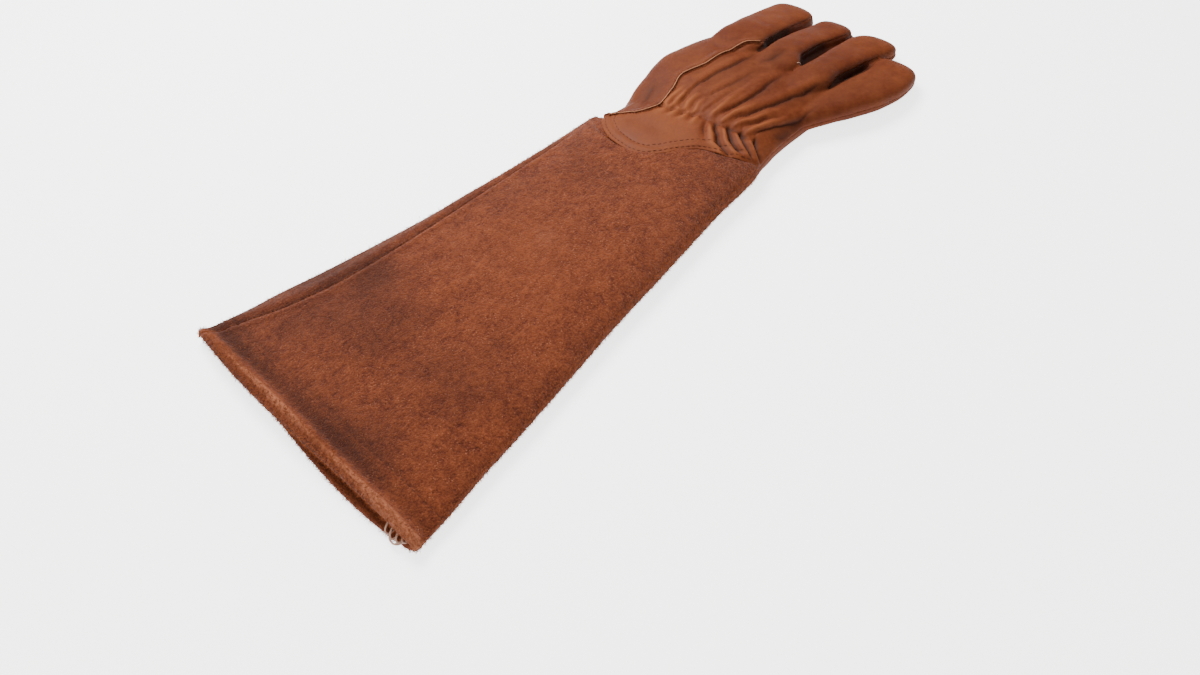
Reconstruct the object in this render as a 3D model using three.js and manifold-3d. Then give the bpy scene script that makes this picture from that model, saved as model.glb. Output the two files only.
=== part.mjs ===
// Long rose pruning gauntlet for the right hand, lying palm down with its thumb folded under the palm.
// Millimetres. +X runs from the cuff's mouth to the fingertips, +Y to the thumb side, +Z up.
import * as THREE from 'three';
import { mergeVertices } from 'three/addons/utils/BufferGeometryUtils.js';
import Module from 'manifold-3d';

const wasm = await Module();
wasm.setup();
const { clamp, degToRad, lerp, smoothstep } = THREE.MathUtils;

// Cuff of suede: one sheet wrapped round, sewn along the thumb side, with a turned-in hem
const CUFF_LENGTH = 290;
const MOUTH_WIDTH = 200;
const WRIST_WIDTH = 118;
const WRIST_SHIFT = 1.5;
const MOUTH_RISE = 13;
const WRIST_RISE = 26;
const SUEDE = 2;
const HEM_WIDTH = 18;
const HEM_TURN = 1.8;
const LIP_ROUND = 6;
const LIP_DROP = 2.8;
const STITCH_DIP = 0.6;
const UPPER_BOW = 3;
const LOWER_BOW = 3;
const BOW_LENGTH = 90;
const SEAM_INSET = 19;
const SEAM_LIP = 4;
const SEAM_DEPTH = 2.6;
const SIDE_ROLL = 8;
const LEAST_OPENING = 1;

// Hand of smooth leather, gathered on a hidden elastic above the wrist
const HAND_LENGTH = 177;
const PALM_WIDTH = 104;
const HAND_RISE = 32;
const LEATHER = 1.5;
const LAP_WIDTH = 10;
const LAP_DROP = 34;
const GATHER_DEPTH = 2.2;
const GATHER_START = 10;
const GATHER_LENGTH = 70;
const ELASTIC_SETBACK = 4;
const ELASTIC_HALF = 4.5;
const ELASTIC_DIP = 1.2;
const RIDGE_HEIGHT = 0.8;
const HAND_END_DROP = 2.5;

// Fingers and thumb
const FINGER_LENGTH = 76;
const FINGER_WIDTH = 30;
const FINGER_THICKNESS = 15;
const FINGERTIP_THICKNESS = 12.6;
const FINGERTIP_ROUND = 17;
const FOURCHETTE_HEIGHT = 7;
const FOURCHETTE_REACH = 11;
const CROTCH_DEPTH = 9;
const THUMB_LENGTH = 82;
const THUMB_WIDTH = 28;
const THUMB_THICKNESS = 10.5;
const THUMB_START = 22;

// Clearance between pieces that are sewn together
const SEAM_GAP = 0.3;

// Shapes without a unit: where a sheet turns over at its sides, how boxy the sections are, and how
// the elastic and the mouth's two layers run across
const CUFF_FOLD_LEFT = 0.4;
const CUFF_FOLD_RIGHT = 0.38;
const MOUTH_BOXINESS = 3;
const WRIST_BOXINESS = 2.4;
const OVAL_BOXINESS = 2.35;
const TIP_BOXINESS = 2.2;
const TIP_FULLNESS = 3;
const UPPER_BOW_SKEW = 0.9;
const LOWER_BOW_SKEW = -2.5;
const ELASTIC_SKEW = 0.2;
const SUEDE_GATHER = 0.6;
const SIDE_SEAM_SHARE = 0.45;

// Shares of LAP_DROP before the wrist where the side seam's groove fades out and where the suede
// starts to thin towards its tongue. Share of FINGER_LENGTH over which the wrap seam runs into the gap
// between the fingers, and share of FINGERTIP_ROUND where the strips between the fingers stop.
const SEAM_FADE_START = 3;
const SEAM_FADE_END = 1.5;
const TONGUE_START = 1.2;
const WRAP_BLEND = 0.22;
const STRIP_SETBACK = 0.5;

const PALM_HALF = PALM_WIDTH / 2;
const CROTCH_X = CUFF_LENGTH + HAND_LENGTH - FINGER_LENGTH;
const THUMB_LIFT = THUMB_THICKNESS + 2 * SEAM_GAP;
const FAR = 2 * MOUTH_WIDTH;

// How finely the sections are cut: shares between the last line of points and the side, angles round
// the sides, shares across the underside, sides of the ovals, and shares along fingers and thumb
const EDGE_SHARES = [0.45, 0.12, 0];
const ROLL_TURNS = [degToRad(30), degToRad(60), degToRad(90)];
const UNDER_SHARES = [0.75, 0.5, 0.25];
const UNDER_LIFT = { start: 0.3, end: 0.7 };
const OUTSIDE = {
  sides: 14,
  along: [-0.5, -0.3, -0.12, 0, 0.13, 0.28, 0.43],
  tip: [0, 0.3, 0.55, 0.76, 0.9, 0.98],
};
const HOLLOW = { sides: 10, along: [-0.5, -0.12, 0, 0.2, 0.43], tip: [0, 0.45, 0.8, 0.97] };
const THUMB_SHARES = { along: [0, 0.1, 0.2, 0.32, 0.48, 0.66], tip: [0, 0.35, 0.62, 0.82, 0.95] };

// Sections of the cuff. at: share of CUFF_LENGTH. left, right: share of the flare from wrist to mouth.
// riseLeft, riseRight: share of the way from MOUTH_RISE to WRIST_RISE. seam: share of SEAM_INSET.
const CUFF_ROWS = [
  { at: 0, left: 1, right: 1, riseLeft: -0.1, riseRight: 0, seam: 0.3 },
  { at: 0.086, left: 0.86, right: 0.918, riseLeft: -0.15, riseRight: 0.15, seam: 0.6 },
  { at: 0.172, left: 0.74, right: 0.81, riseLeft: 0, riseRight: 0.25, seam: 0.95 },
  { at: 0.26, left: 0.6, right: 0.718, riseLeft: 0.1, riseRight: 0.35, seam: 1 },
  { at: 0.4, left: 0.42, right: 0.56, riseLeft: 0.25, riseRight: 0.45, seam: 0.85 },
  { at: 0.54, left: 0.262, right: 0.393, riseLeft: 0.4, riseRight: 0.6, seam: 0.68 },
  { at: 0.7, left: 0.127, right: 0.24, riseLeft: 0.55, riseRight: 0.75, seam: 0.5 },
  { at: 0.845, left: 0.038, right: 0.094, riseLeft: 0.75, riseRight: 0.85, seam: 0.4 },
  { at: 0.924, left: 0, right: 0.02, riseLeft: 0.9, riseRight: 0.94, seam: 0.35 },
  { at: 0.945, left: -0.04, right: 0.01, riseLeft: 0.94, riseRight: 0.96, seam: 0.3 },
  { at: 0.966, left: -0.2, right: 0, riseLeft: 0.96, riseRight: 0.98, seam: 0.3 },
];

// Sections of the hand. at: share of HAND_LENGTH past the cuff. left, right: share of PALM_HALF.
// rise, fold: share of HAND_RISE, thumb side first. lift: share of THUMB_LIFT, thumb side first.
const HAND_ROWS = [
  { at: 0, left: 0.97, right: 1.087, rise: [0.83, 0.8], fold: [0.34, 0.3], lift: [0, 0] },
  { at: 0.062, left: 1.01, right: 1.063, rise: [0.85, 0.8], fold: [0.38, 0.3], lift: [0.1, 0] },
  { at: 0.119, left: 1.07, right: 1.02, rise: [0.9, 0.8], fold: [0.44, 0.28], lift: [0.35, 0] },
  { at: 0.175, left: 1.1, right: 0.987, rise: [0.95, 0.8], fold: [0.5, 0.28], lift: [0.7, 0] },
  { at: 0.243, left: 1.15, right: 0.967, rise: [1, 0.8], fold: [0.56, 0.28], lift: [1, 0] },
  { at: 0.316, left: 1.18, right: 0.962, rise: [1, 0.8], fold: [0.6, 0.28], lift: [1, 0] },
  { at: 0.373, left: 1.15, right: 0.962, rise: [0.99, 0.8], fold: [0.6, 0.28], lift: [1, 0] },
  { at: 0.43, left: 1.12, right: 0.98, rise: [0.96, 0.76], fold: [0.6, 0.3], lift: [1, 0.1] },
  { at: 0.497, left: 1.07, right: 1.04, rise: [0.9, 0.69], fold: [0.6, 0.32], lift: [1, 0.3] },
  { at: 0.57, left: 0.95, right: 1.08, rise: [0.83, 0.6], fold: [0.6, 0.34], lift: [1, 0.5] },
];

// Ribs and creases from the gathered wrist to the knuckles, from the thumb side across.
// lap, gather, middle, knuckle: share of PALM_HALF. depth: share of GATHER_DEPTH, positive for a rib.
// seam: the cuff's side seam or the hand's wrap seam, where one follows that line.
const FOLD_ROWS = [
  { lap: 0.88, gather: 0.82, middle: 0.88, knuckle: 0.8, depth: 0 },
  { lap: 0.74, gather: 0.64, middle: 0.72, knuckle: 0.66, depth: 0, seam: 'side' },
  { lap: 0.53, gather: 0.46, middle: 0.57, knuckle: 0.49, depth: 0.3, seam: 'wrap' },
  { lap: 0.44, gather: 0.38, middle: 0.45, knuckle: 0.36, depth: 0.5 },
  { lap: 0.34, gather: 0.29, middle: 0.31, knuckle: 0.21, depth: -0.7 },
  { lap: 0.24, gather: 0.21, middle: 0.17, knuckle: 0.08, depth: 0.7 },
  { lap: 0.12, gather: 0.11, middle: 0.0, knuckle: -0.07, depth: -0.8 },
  { lap: -0.12, gather: -0.05, middle: -0.18, knuckle: -0.23, depth: 0.9 },
  { lap: -0.4, gather: -0.19, middle: -0.33, knuckle: -0.45, depth: -1 },
  { lap: -0.52, gather: -0.28, middle: -0.43, knuckle: -0.54, depth: 1 },
  { lap: -0.64, gather: -0.38, middle: -0.53, knuckle: -0.64, depth: -1 },
  { lap: -0.74, gather: -0.49, middle: -0.63, knuckle: -0.73, depth: 1 },
  { lap: -0.84, gather: -0.58, middle: -0.72, knuckle: -0.81, depth: -1 },
  { lap: -0.92, gather: -0.67, middle: -0.78, knuckle: -0.87, depth: 0.9 },
  { lap: -0.98, gather: -0.75, middle: -0.84, knuckle: -0.92, depth: -0.8 },
];
// Where the columns of FOLD_ROWS stand, as shares of HAND_LENGTH past the cuff
const FOLD_STATIONS = { lap: 0, gather: 0.12, middle: 0.255, knuckle: 0.425 };
const WRAP_TRACK = FOLD_ROWS.findIndex((row) => row.seam === 'wrap');
const SIDE_SEAM_TRACK = FOLD_ROWS.findIndex((row) => row.seam === 'side');
// On the cuff: where the first line runs between groove and edge, and the last one before the edge
const SEAM_EDGE_SHARE = 0.6;
const LAST_TRACK_SHARE = 0.92;

// Edge of the leather over the suede. y: share of PALM_HALF. back: share of LAP_DROP to the mouth.
const LAP_ROWS = [
  { y: -1.6, back: -0.45 },
  { y: -1.08, back: -0.4 },
  { y: -0.93, back: -0.2 },
  { y: -0.74, back: 0 },
  { y: -0.5, back: 0.16 },
  { y: -0.31, back: 0.45 },
  { y: -0.17, back: 0.73 },
  { y: 0.0, back: 0.94 },
  { y: 0.2, back: 1.0 },
  { y: 0.45, back: 0.96 },
  { y: 0.84, back: 0.66 },
  { y: 0.94, back: 0.42 },
  { y: 1.02, back: 0.28 },
  { y: 1.6, back: 0.26 },
];

// Fingers, thumb side first, at the shares of FINGER_LENGTH past the crotch in FINGER_STATIONS.
// axis, half: share of FINGER_WIDTH. height: share of HAND_RISE. reach: share of FINGER_LENGTH.
const FINGER_STATIONS = [-0.5, 0, 0.2, 0.45, 0.72, 1];
const FINGERS = [
  {
    name: 'index',
    axis: [1.14, 1.06, 1.13, 1.165, 1.19, 1.18],
    half: [0.52, 0.6, 0.53, 0.53, 0.55, 0.56],
    height: [0.56, 0.67, 0.61, 0.5, 0.36, 0.25],
    reach: 0.99,
  },
  {
    name: 'middle',
    axis: [0.15, -0.08, 0.07, 0.1, 0.06, 0],
    half: [0.4, 0.51, 0.4, 0.39, 0.43, 0.48],
    height: [0.56, 0.62, 0.56, 0.46, 0.33, 0.23],
    reach: 1,
  },
  {
    name: 'ring',
    axis: [-0.65, -0.99, -0.96, -0.96, -0.98, -1.14],
    half: [0.37, 0.42, 0.38, 0.43, 0.48, 0.53],
    height: [0.5, 0.56, 0.5, 0.42, 0.32, 0.24],
    reach: 1.03,
  },
  {
    name: 'little',
    axis: [-1.27, -1.84, -1.96, -2.03, -1.96, -1.85],
    half: [0.35, 0.47, 0.54, 0.56, 0.55, 0.53],
    height: [0.34, 0.38, 0.35, 0.3, 0.25, 0.21],
    reach: 0.82,
  },
];

// Thumb under the palm. at: share of THUMB_LENGTH. axis, half: share of THUMB_WIDTH.
// height: share of THUMB_THICKNESS.
const THUMB_ROWS = [
  { at: 0, axis: 1.3, half: 0.36, height: 1.3 },
  { at: 0.1, axis: 1.4, half: 0.44, height: 1.05 },
  { at: 0.25, axis: 1.52, half: 0.5, height: 0.6 },
  { at: 0.45, axis: 1.54, half: 0.5, height: 0.5 },
  { at: 0.7, axis: 1.4, half: 0.47, height: 0.5 },
  { at: 1, axis: 1.1, half: 0.44, height: 0.5 },
];

// Smooth value of one column of a table of rows in order of x, without overshoot
function valueAt(rows, column, x) {
  const next = rows.findIndex((row) => row.x > x);
  if (next === 0) return rows[0][column];
  if (next < 0) return rows[rows.length - 1][column];
  const slope = (i) => (rows[i][column] - rows[i - 1][column]) / (rows[i].x - rows[i - 1].x);
  const here = slope(next);
  const before = next > 1 ? slope(next - 1) : here;
  const after = next + 1 < rows.length ? slope(next + 1) : here;
  const tangent = (u, v) => (u * v > 0 ? (2 * u * v) / (u + v) : 0);
  const span = rows[next].x - rows[next - 1].x;
  const t = (x - rows[next - 1].x) / span;
  const between = lerp(rows[next - 1][column], rows[next][column], t * t * (3 - 2 * t));
  const leaving = tangent(before, here) * span * t * (1 - t) ** 2;
  const arriving = tangent(here, after) * span * t * t * (1 - t);
  return between + leaving - arriving;
}

// The tables of the cuff's and the hand's sections as one table in millimetres
function bodyRows() {
  const wristLeft = WRIST_WIDTH / 2 + WRIST_SHIFT;
  const wristRight = WRIST_WIDTH / 2 - WRIST_SHIFT;
  const cuff = CUFF_ROWS.map((row) => {
    const riseLeft = lerp(MOUTH_RISE, WRIST_RISE, row.riseLeft);
    const riseRight = lerp(MOUTH_RISE, WRIST_RISE, row.riseRight);
    return {
      x: row.at * CUFF_LENGTH,
      left: lerp(wristLeft, MOUTH_WIDTH / 2, row.left),
      right: -lerp(wristRight, MOUTH_WIDTH / 2, row.right),
      riseLeft,
      riseRight,
      foldLeft: CUFF_FOLD_LEFT * riseLeft,
      foldRight: CUFF_FOLD_RIGHT * riseRight,
      liftLeft: 0,
      liftRight: 0,
      seam: row.seam * SEAM_INSET,
    };
  });
  const hand = HAND_ROWS.map((row) => ({
    x: CUFF_LENGTH + row.at * HAND_LENGTH,
    left: row.left * PALM_HALF,
    right: -row.right * PALM_HALF,
    riseLeft: row.rise[0] * HAND_RISE,
    riseRight: row.rise[1] * HAND_RISE,
    foldLeft: row.fold[0] * HAND_RISE,
    foldRight: row.fold[1] * HAND_RISE,
    liftLeft: row.lift[0] * THUMB_LIFT,
    liftRight: row.lift[1] * THUMB_LIFT,
    seam: cuff[cuff.length - 1].seam,
  }));
  return [...cuff, ...hand];
}
const BODY_ROWS = bodyRows();
const BODY_COLUMNS = Object.keys(BODY_ROWS[0]).filter((column) => column !== 'x');
const BODY_END = BODY_ROWS[BODY_ROWS.length - 1].x;

function bodyAt(x) {
  return Object.fromEntries(BODY_COLUMNS.map((column) => [column, valueAt(BODY_ROWS, column, x)]));
}

// Y of one line of points over the top: across the cuff, then along a rib or crease of the hand
function trackY(track, x) {
  const body = bodyAt(x);
  const groove = body.left - body.seam;
  const nearSeam = [groove + SEAM_EDGE_SHARE * body.seam, groove, groove - SEAM_LIP];
  const share = (track - nearSeam.length + 1) / (FOLD_ROWS.length - nearSeam.length);
  const onCuff = nearSeam[track] ?? lerp(groove - SEAM_LIP, LAST_TRACK_SHARE * body.right, share);
  const rows = [{ x: CUFF_LENGTH - LAP_DROP, y: onCuff }];
  Object.entries(FOLD_STATIONS).forEach(([column, at]) => {
    rows.push({ x: CUFF_LENGTH + at * HAND_LENGTH, y: FOLD_ROWS[track][column] * PALM_HALF });
  });
  return valueAt(rows, 'y', x);
}

// Height that the gathers, the elastic and the wrap seam give to a line of points
function relief(track, x, y) {
  const elastic = CUFF_LENGTH + FOLD_STATIONS.gather * HAND_LENGTH - ELASTIC_SETBACK;
  const past = x - elastic + ELASTIC_SKEW * y;
  const toKnuckles = lerp(SUEDE_GATHER, 1, smoothstep(past, 0, ELASTIC_HALF))
    * (1 - smoothstep(past, GATHER_START, GATHER_LENGTH));
  const toLap = SUEDE_GATHER * smoothstep(past, -LAP_DROP, 0);
  const gather = FOLD_ROWS[track].depth * GATHER_DEPTH * (past > 0 ? toKnuckles : toLap);
  const dip = ELASTIC_DIP * Math.exp(-((past / ELASTIC_HALF) ** 2) / 2);
  const ridge = track === WRAP_TRACK ? RIDGE_HEIGHT : 0;
  return (gather - dip + ridge) * smoothstep(x, CUFF_LENGTH - LAP_DROP, CUFF_LENGTH);
}

// Depth of the groove along the cuff's side seam, which fades out before the wrist
function seamGroove(track, x) {
  if (track !== SIDE_SEAM_TRACK) return 0;
  const fadeStart = CUFF_LENGTH - SEAM_FADE_START * LAP_DROP;
  const toWrist = smoothstep(x, fadeStart, CUFF_LENGTH - SEAM_FADE_END * LAP_DROP);
  return SEAM_DEPTH * smoothstep(x, 0, LIP_ROUND) * (1 - toWrist);
}

// One closed section of the cuff and hand in a plane across X, moved inwards by inset
function bodyRing(x, inset) {
  const body = bodyAt(x);
  const left = body.left - inset;
  const right = body.right + inset;
  const middle = (left + right) / 2;
  const half = (left - right) / 2;
  const liftLeft = body.liftLeft + inset;
  const liftRight = body.liftRight + inset;
  const foldLeft = clamp(body.foldLeft, liftLeft + SEAM_GAP, body.riseLeft - inset - SEAM_GAP);
  const foldRight = clamp(body.foldRight, liftRight + SEAM_GAP, body.riseRight - inset - SEAM_GAP);
  const boxiness = lerp(MOUTH_BOXINESS, WRIST_BOXINESS, smoothstep(x, 0, CUFF_LENGTH));
  const top = (y) => {
    const side = clamp((y - middle) / half, -1, 1);
    const fold = lerp(foldRight, foldLeft, (side + 1) / 2);
    const rise = lerp(body.riseRight, body.riseLeft, (side + 1) / 2) - inset;
    return fold + (rise - fold) * (1 - Math.abs(side) ** boxiness) ** (1 / boxiness);
  };
  const ring = [];
  const nearMouth = 1 - smoothstep(x, 0, BOW_LENGTH);
  const add = (y, z, bow = LOWER_BOW, skew = LOWER_BOW_SKEW) => {
    const side = (2 * y) / MOUTH_WIDTH;
    const outwards = bow * (1 - side * side) * (1 + skew * side) * nearMouth;
    ring.push(new THREE.Vector3(x - outwards, y, z));
  };
  const addTop = (y, z) => add(y, z, UPPER_BOW, UPPER_BOW_SKEW);
  const tracks = FOLD_ROWS.map((row, track) => {
    const y = middle + ((trackY(track, x) - (body.left + body.right) / 2) * half) / (half + inset);
    const stitches = Math.abs(x - HEM_WIDTH) < 1 ? STITCH_DIP : 0;
    const z = top(y) + relief(track, x, y) - seamGroove(track, x) - stitches;
    return { y, z: Math.max(z, Math.max(liftLeft, liftRight) + LEAST_OPENING) };
  });
  [...EDGE_SHARES].reverse().forEach((share) => {
    const y = lerp(right, tracks[tracks.length - 1].y, share);
    addTop(y, top(y));
  });
  [...tracks].reverse().forEach((point) => addTop(point.y, point.z));
  EDGE_SHARES.forEach((share) => {
    const y = lerp(left, tracks[0].y, share);
    addTop(y, top(y));
  });
  const roll = Math.min(SIDE_ROLL, half / 3);
  ROLL_TURNS.forEach((turn) => {
    add(left - roll * (1 - Math.cos(turn)), lerp(foldLeft, liftLeft, Math.sin(turn)));
  });
  UNDER_SHARES.forEach((share) => {
    const lift = lerp(liftRight, liftLeft, smoothstep(share, UNDER_LIFT.start, UNDER_LIFT.end));
    add(lerp(right + roll, left - roll, share), lift);
  });
  [...ROLL_TURNS].reverse().forEach((turn) => {
    add(right + roll * (1 - Math.cos(turn)), lerp(foldRight, liftRight, Math.sin(turn)));
  });
  return ring;
}

// Closed oval section of a finger in a plane across X, cut off flat at z = floor
function ovalRing(x, axis, height, halfWidth, halfThickness, floor) {
  const { sides } = floor > 0 ? HOLLOW : OUTSIDE;
  return Array.from({ length: sides }, (_, i) => {
    const turn = (2 * Math.PI * i) / sides;
    const across = Math.sign(Math.cos(turn)) * Math.abs(Math.cos(turn)) ** (2 / OVAL_BOXINESS);
    const up = Math.sign(Math.sin(turn)) * Math.abs(Math.sin(turn)) ** (2 / OVAL_BOXINESS);
    const z = Math.max(height + halfThickness * up, floor);
    return new THREE.Vector3(x, axis + halfWidth * across, z);
  });
}

// Solid skin over rings of equal length, in order of x, closed by a fan over each end
function loft(rings) {
  const outline = rings[0].map((point) => new THREE.Vector2(point.y, point.z));
  const turned = THREE.ShapeUtils.area(outline) < 0 ? rings.map((ring) => [...ring].reverse()) : rings;
  const size = turned[0].length;
  const last = (turned.length - 1) * size;
  const points = turned.flat();
  const triangles = [];
  for (let start = 0; start < last; start += size) {
    for (let i = 0; i < size; i += 1) {
      const a = start + i;
      const b = start + ((i + 1) % size);
      triangles.push([a, b, a + size], [b, b + size, a + size]);
    }
  }
  const middleOf = (ring) => {
    const sum = new THREE.Vector3();
    ring.forEach((point) => sum.add(point));
    return sum.divideScalar(size);
  };
  const firstMiddle = points.push(middleOf(turned[0])) - 1;
  const lastMiddle = points.push(middleOf(turned[turned.length - 1])) - 1;
  for (let i = 0; i < size; i += 1) {
    const next = (i + 1) % size;
    triangles.push([next, i, firstMiddle], [last + i, last + next, lastMiddle]);
  }
  const vertProperties = new Float32Array(points.flatMap((point) => point.toArray()));
  const triVerts = new Uint32Array(triangles.flat());
  return new wasm.Manifold(new wasm.Mesh({ numProp: 3, vertProperties, triVerts }));
}

function joined(solids) {
  return solids.reduce((whole, solid) => whole.add(solid));
}

// Stations of the sections: the lip and hem, the plain cuff, then the gathered wrist and the hand
const HEM_STATIONS = [
  ...[0, 0.15, 0.4, 1].map((share) => share * LIP_ROUND),
  ...[-2, 0, 2].map((offset) => HEM_WIDTH + offset),
];
const CUFF_STATIONS = [0.11, 0.16, 0.22, 0.3, 0.4, 0.5, 0.6, 0.7, 0.78, 0.84]
  .map((share) => share * CUFF_LENGTH);
const WRIST_STATIONS = [-34, -24, -17, -13, -8, -3, 3, 9].map((offset) => CUFF_LENGTH + offset);
const HAND_STATIONS = [0.08, 0.105, 0.13, 0.155, 0.19, 0.24, 0.3, 0.37, 0.44, 0.51]
  .map((share) => CUFF_LENGTH + share * HAND_LENGTH);
const END_STATIONS = [BODY_END - 3, BODY_END];
const SLEEVE_STATIONS = [...HEM_STATIONS, ...CUFF_STATIONS];
const BODY_STATIONS = [...SLEEVE_STATIONS, ...WRIST_STATIONS, ...HAND_STATIONS, ...END_STATIONS];

// How far the outside of the leather or suede lies under the plain section at x
function surfaceDrop(x) {
  const lip = LIP_DROP * (1 - Math.sqrt(1 - (1 - Math.min(x / LIP_ROUND, 1)) ** 2));
  const end = x > BODY_END - 1 ? HAND_END_DROP : 0;
  return lip + end;
}

function bodyOuter(inset) {
  return loft(BODY_STATIONS.map((x) => bodyRing(x, surfaceDrop(x) + inset)));
}

// Hollow of the cuff and the hand behind a wall, open past the mouth
function bodyHollow(wall, hemWall, end) {
  const hem = [-LIP_ROUND, 0, HEM_WIDTH].map((x) => bodyRing(x, hemWall));
  const inside = [HEM_WIDTH + 1, ...CUFF_STATIONS, ...WRIST_STATIONS, ...HAND_STATIONS, BODY_END - LEATHER]
    .filter((x) => x < end)
    .map((x) => bodyRing(x, wall));
  return loft([...hem, ...inside]);
}

// One finger, moved inwards by inset. Its hollow needs fewer sections than its outside.
function fingerSolid(finger, inset) {
  const tip = CROTCH_X + finger.reach * FINGER_LENGTH - inset;
  const roundStart = tip - FINGERTIP_ROUND + inset;
  const shares = inset > 0 ? HOLLOW : OUTSIDE;
  const along = shares.along.map((at) => CROTCH_X + at * FINGER_LENGTH);
  const round = shares.tip.map((share) => lerp(roundStart, tip, share));
  return loft([...along, ...round].map((x) => {
    const into = clamp((x - roundStart) / (tip - roundStart), 0, 1);
    const half = (fingerHalf(finger, x) - inset) * Math.sqrt(1 - into ** TIP_BOXINESS);
    const flat = lerp(FINGER_THICKNESS, FINGERTIP_THICKNESS, smoothstep(x, CROTCH_X, roundStart)) / 2;
    const thick = (flat - inset) * Math.sqrt(1 - into ** TIP_FULLNESS);
    return ovalRing(x, fingerAxis(finger, x), fingerHeight(finger, x), half, thick, inset);
  }));
}

// The thumb, moved inwards by inset
function thumbSolid(inset) {
  const rows = THUMB_ROWS.map((row) => ({
    x: CUFF_LENGTH + THUMB_START + row.at * THUMB_LENGTH,
    axis: row.axis * THUMB_WIDTH,
    half: row.half * THUMB_WIDTH,
    height: row.height * THUMB_THICKNESS,
  }));
  const start = rows[0].x;
  const tip = start + THUMB_LENGTH - inset;
  const roundStart = tip - THUMB_WIDTH / 2 + inset;
  const along = THUMB_SHARES.along.map((share) => start + share * THUMB_LENGTH);
  const round = THUMB_SHARES.tip.map((share) => lerp(roundStart, tip, share));
  return loft([...along, ...round].map((x) => {
    const into = clamp((x - roundStart) / (tip - roundStart), 0, 1);
    const half = (valueAt(rows, 'half', x) - inset) * Math.sqrt(1 - into ** TIP_BOXINESS);
    const thick = (THUMB_THICKNESS / 2 - inset) * Math.sqrt(1 - into ** TIP_FULLNESS);
    return ovalRing(x, valueAt(rows, 'axis', x), valueAt(rows, 'height', x), half, thick, inset);
  }));
}

// Everything on the fingers' side of the lap edge, which is moved towards the fingers by offset
function pastLap(offset) {
  const shape = new THREE.Shape();
  shape.moveTo(FAR + CUFF_LENGTH, -FAR);
  LAP_ROWS.forEach((row, i) => {
    const x = CUFF_LENGTH - row.back * LAP_DROP + offset;
    const y = i === 0 ? -FAR : row.y * PALM_HALF;
    shape.lineTo(x, i === LAP_ROWS.length - 1 ? FAR : y);
  });
  shape.lineTo(FAR + CUFF_LENGTH, FAR);
  const geometry = new THREE.ExtrudeGeometry(shape, { depth: 4 * HAND_RISE, bevelEnabled: false });
  geometry.translate(0, 0, -HAND_RISE);
  return geometrySolid(geometry);
}

// A three.js geometry as a solid, with its shared corners merged
function geometrySolid(geometry) {
  const plain = new THREE.BufferGeometry();
  plain.setAttribute('position', geometry.getAttribute('position'));
  if (geometry.index) plain.setIndex(geometry.index);
  const merged = mergeVertices(plain);
  const vertProperties = new Float32Array(merged.getAttribute('position').array);
  const triVerts = new Uint32Array(merged.index.array);
  return new wasm.Manifold(new wasm.Mesh({ numProp: 3, vertProperties, triVerts }));
}

function fingerRows(finger) {
  return FINGER_STATIONS.map((at, i) => ({
    x: CROTCH_X + at * FINGER_LENGTH,
    axis: finger.axis[i] * FINGER_WIDTH,
    half: finger.half[i] * FINGER_WIDTH,
    height: finger.height[i] * HAND_RISE,
  }));
}
const fingerAxis = (finger, x) => valueAt(fingerRows(finger), 'axis', x);
const fingerHalf = (finger, x) => valueAt(fingerRows(finger), 'half', x);
const fingerHeight = (finger, x) => valueAt(fingerRows(finger), 'height', x);

// Middle of the gap between two neighbouring fingers
function gapY(finger, next, x) {
  const left = fingerAxis(finger, x) - fingerHalf(finger, x);
  return (left + fingerAxis(next, x) + fingerHalf(next, x)) / 2;
}
const gapHeight = (finger, next, x) => (fingerHeight(finger, x) + fingerHeight(next, x)) / 2;

const SPLIT_STATIONS = [-2, -1.3, -0.9, -0.5, -0.25, 0, 0.2, 0.45, 0.72, 0.9, 1.1]
  .map((at) => CROTCH_X + at * FINGER_LENGTH);

// Space of the palm panel: under a sheet through the fingers' middle heights, and all that the wrap
// seam leaves on the thumb side. It is grown by gap.
function palmSpace(gap) {
  const under = loft(SPLIT_STATIONS.map((x) => {
    const ring = [new THREE.Vector3(x, -FAR, -FAR), new THREE.Vector3(x, FAR, -FAR)];
    const add = (y, z) => ring.push(new THREE.Vector3(x, y, z + gap));
    add(FAR, fingerHeight(FINGERS[0], x));
    FINGERS.forEach((finger, i) => {
      if (i > 0) add(gapY(FINGERS[i - 1], finger, x), gapHeight(FINGERS[i - 1], finger, x));
      add(fingerAxis(finger, x), fingerHeight(finger, x));
    });
    add(-FAR, SIDE_SEAM_SHARE * fingerHeight(FINGERS[FINGERS.length - 1], x));
    return ring;
  }));
  const wrapStations = [...WRIST_STATIONS, ...HAND_STATIONS, ...SPLIT_STATIONS.filter((x) => x >= CROTCH_X)];
  const wrapEdge = (x) => lerp(
    trackY(WRAP_TRACK, x),
    gapY(FINGERS[0], FINGERS[1], x),
    smoothstep(x, CROTCH_X - WRAP_BLEND * FINGER_LENGTH, CROTCH_X),
  );
  const wrap = loft(wrapStations.map((x) => [
    new THREE.Vector3(x, wrapEdge(x) - gap, -FAR),
    new THREE.Vector3(x, FAR, -FAR),
    new THREE.Vector3(x, FAR, FAR),
    new THREE.Vector3(x, wrapEdge(x) - gap, FAR),
  ]));
  return under.add(wrap);
}

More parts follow.
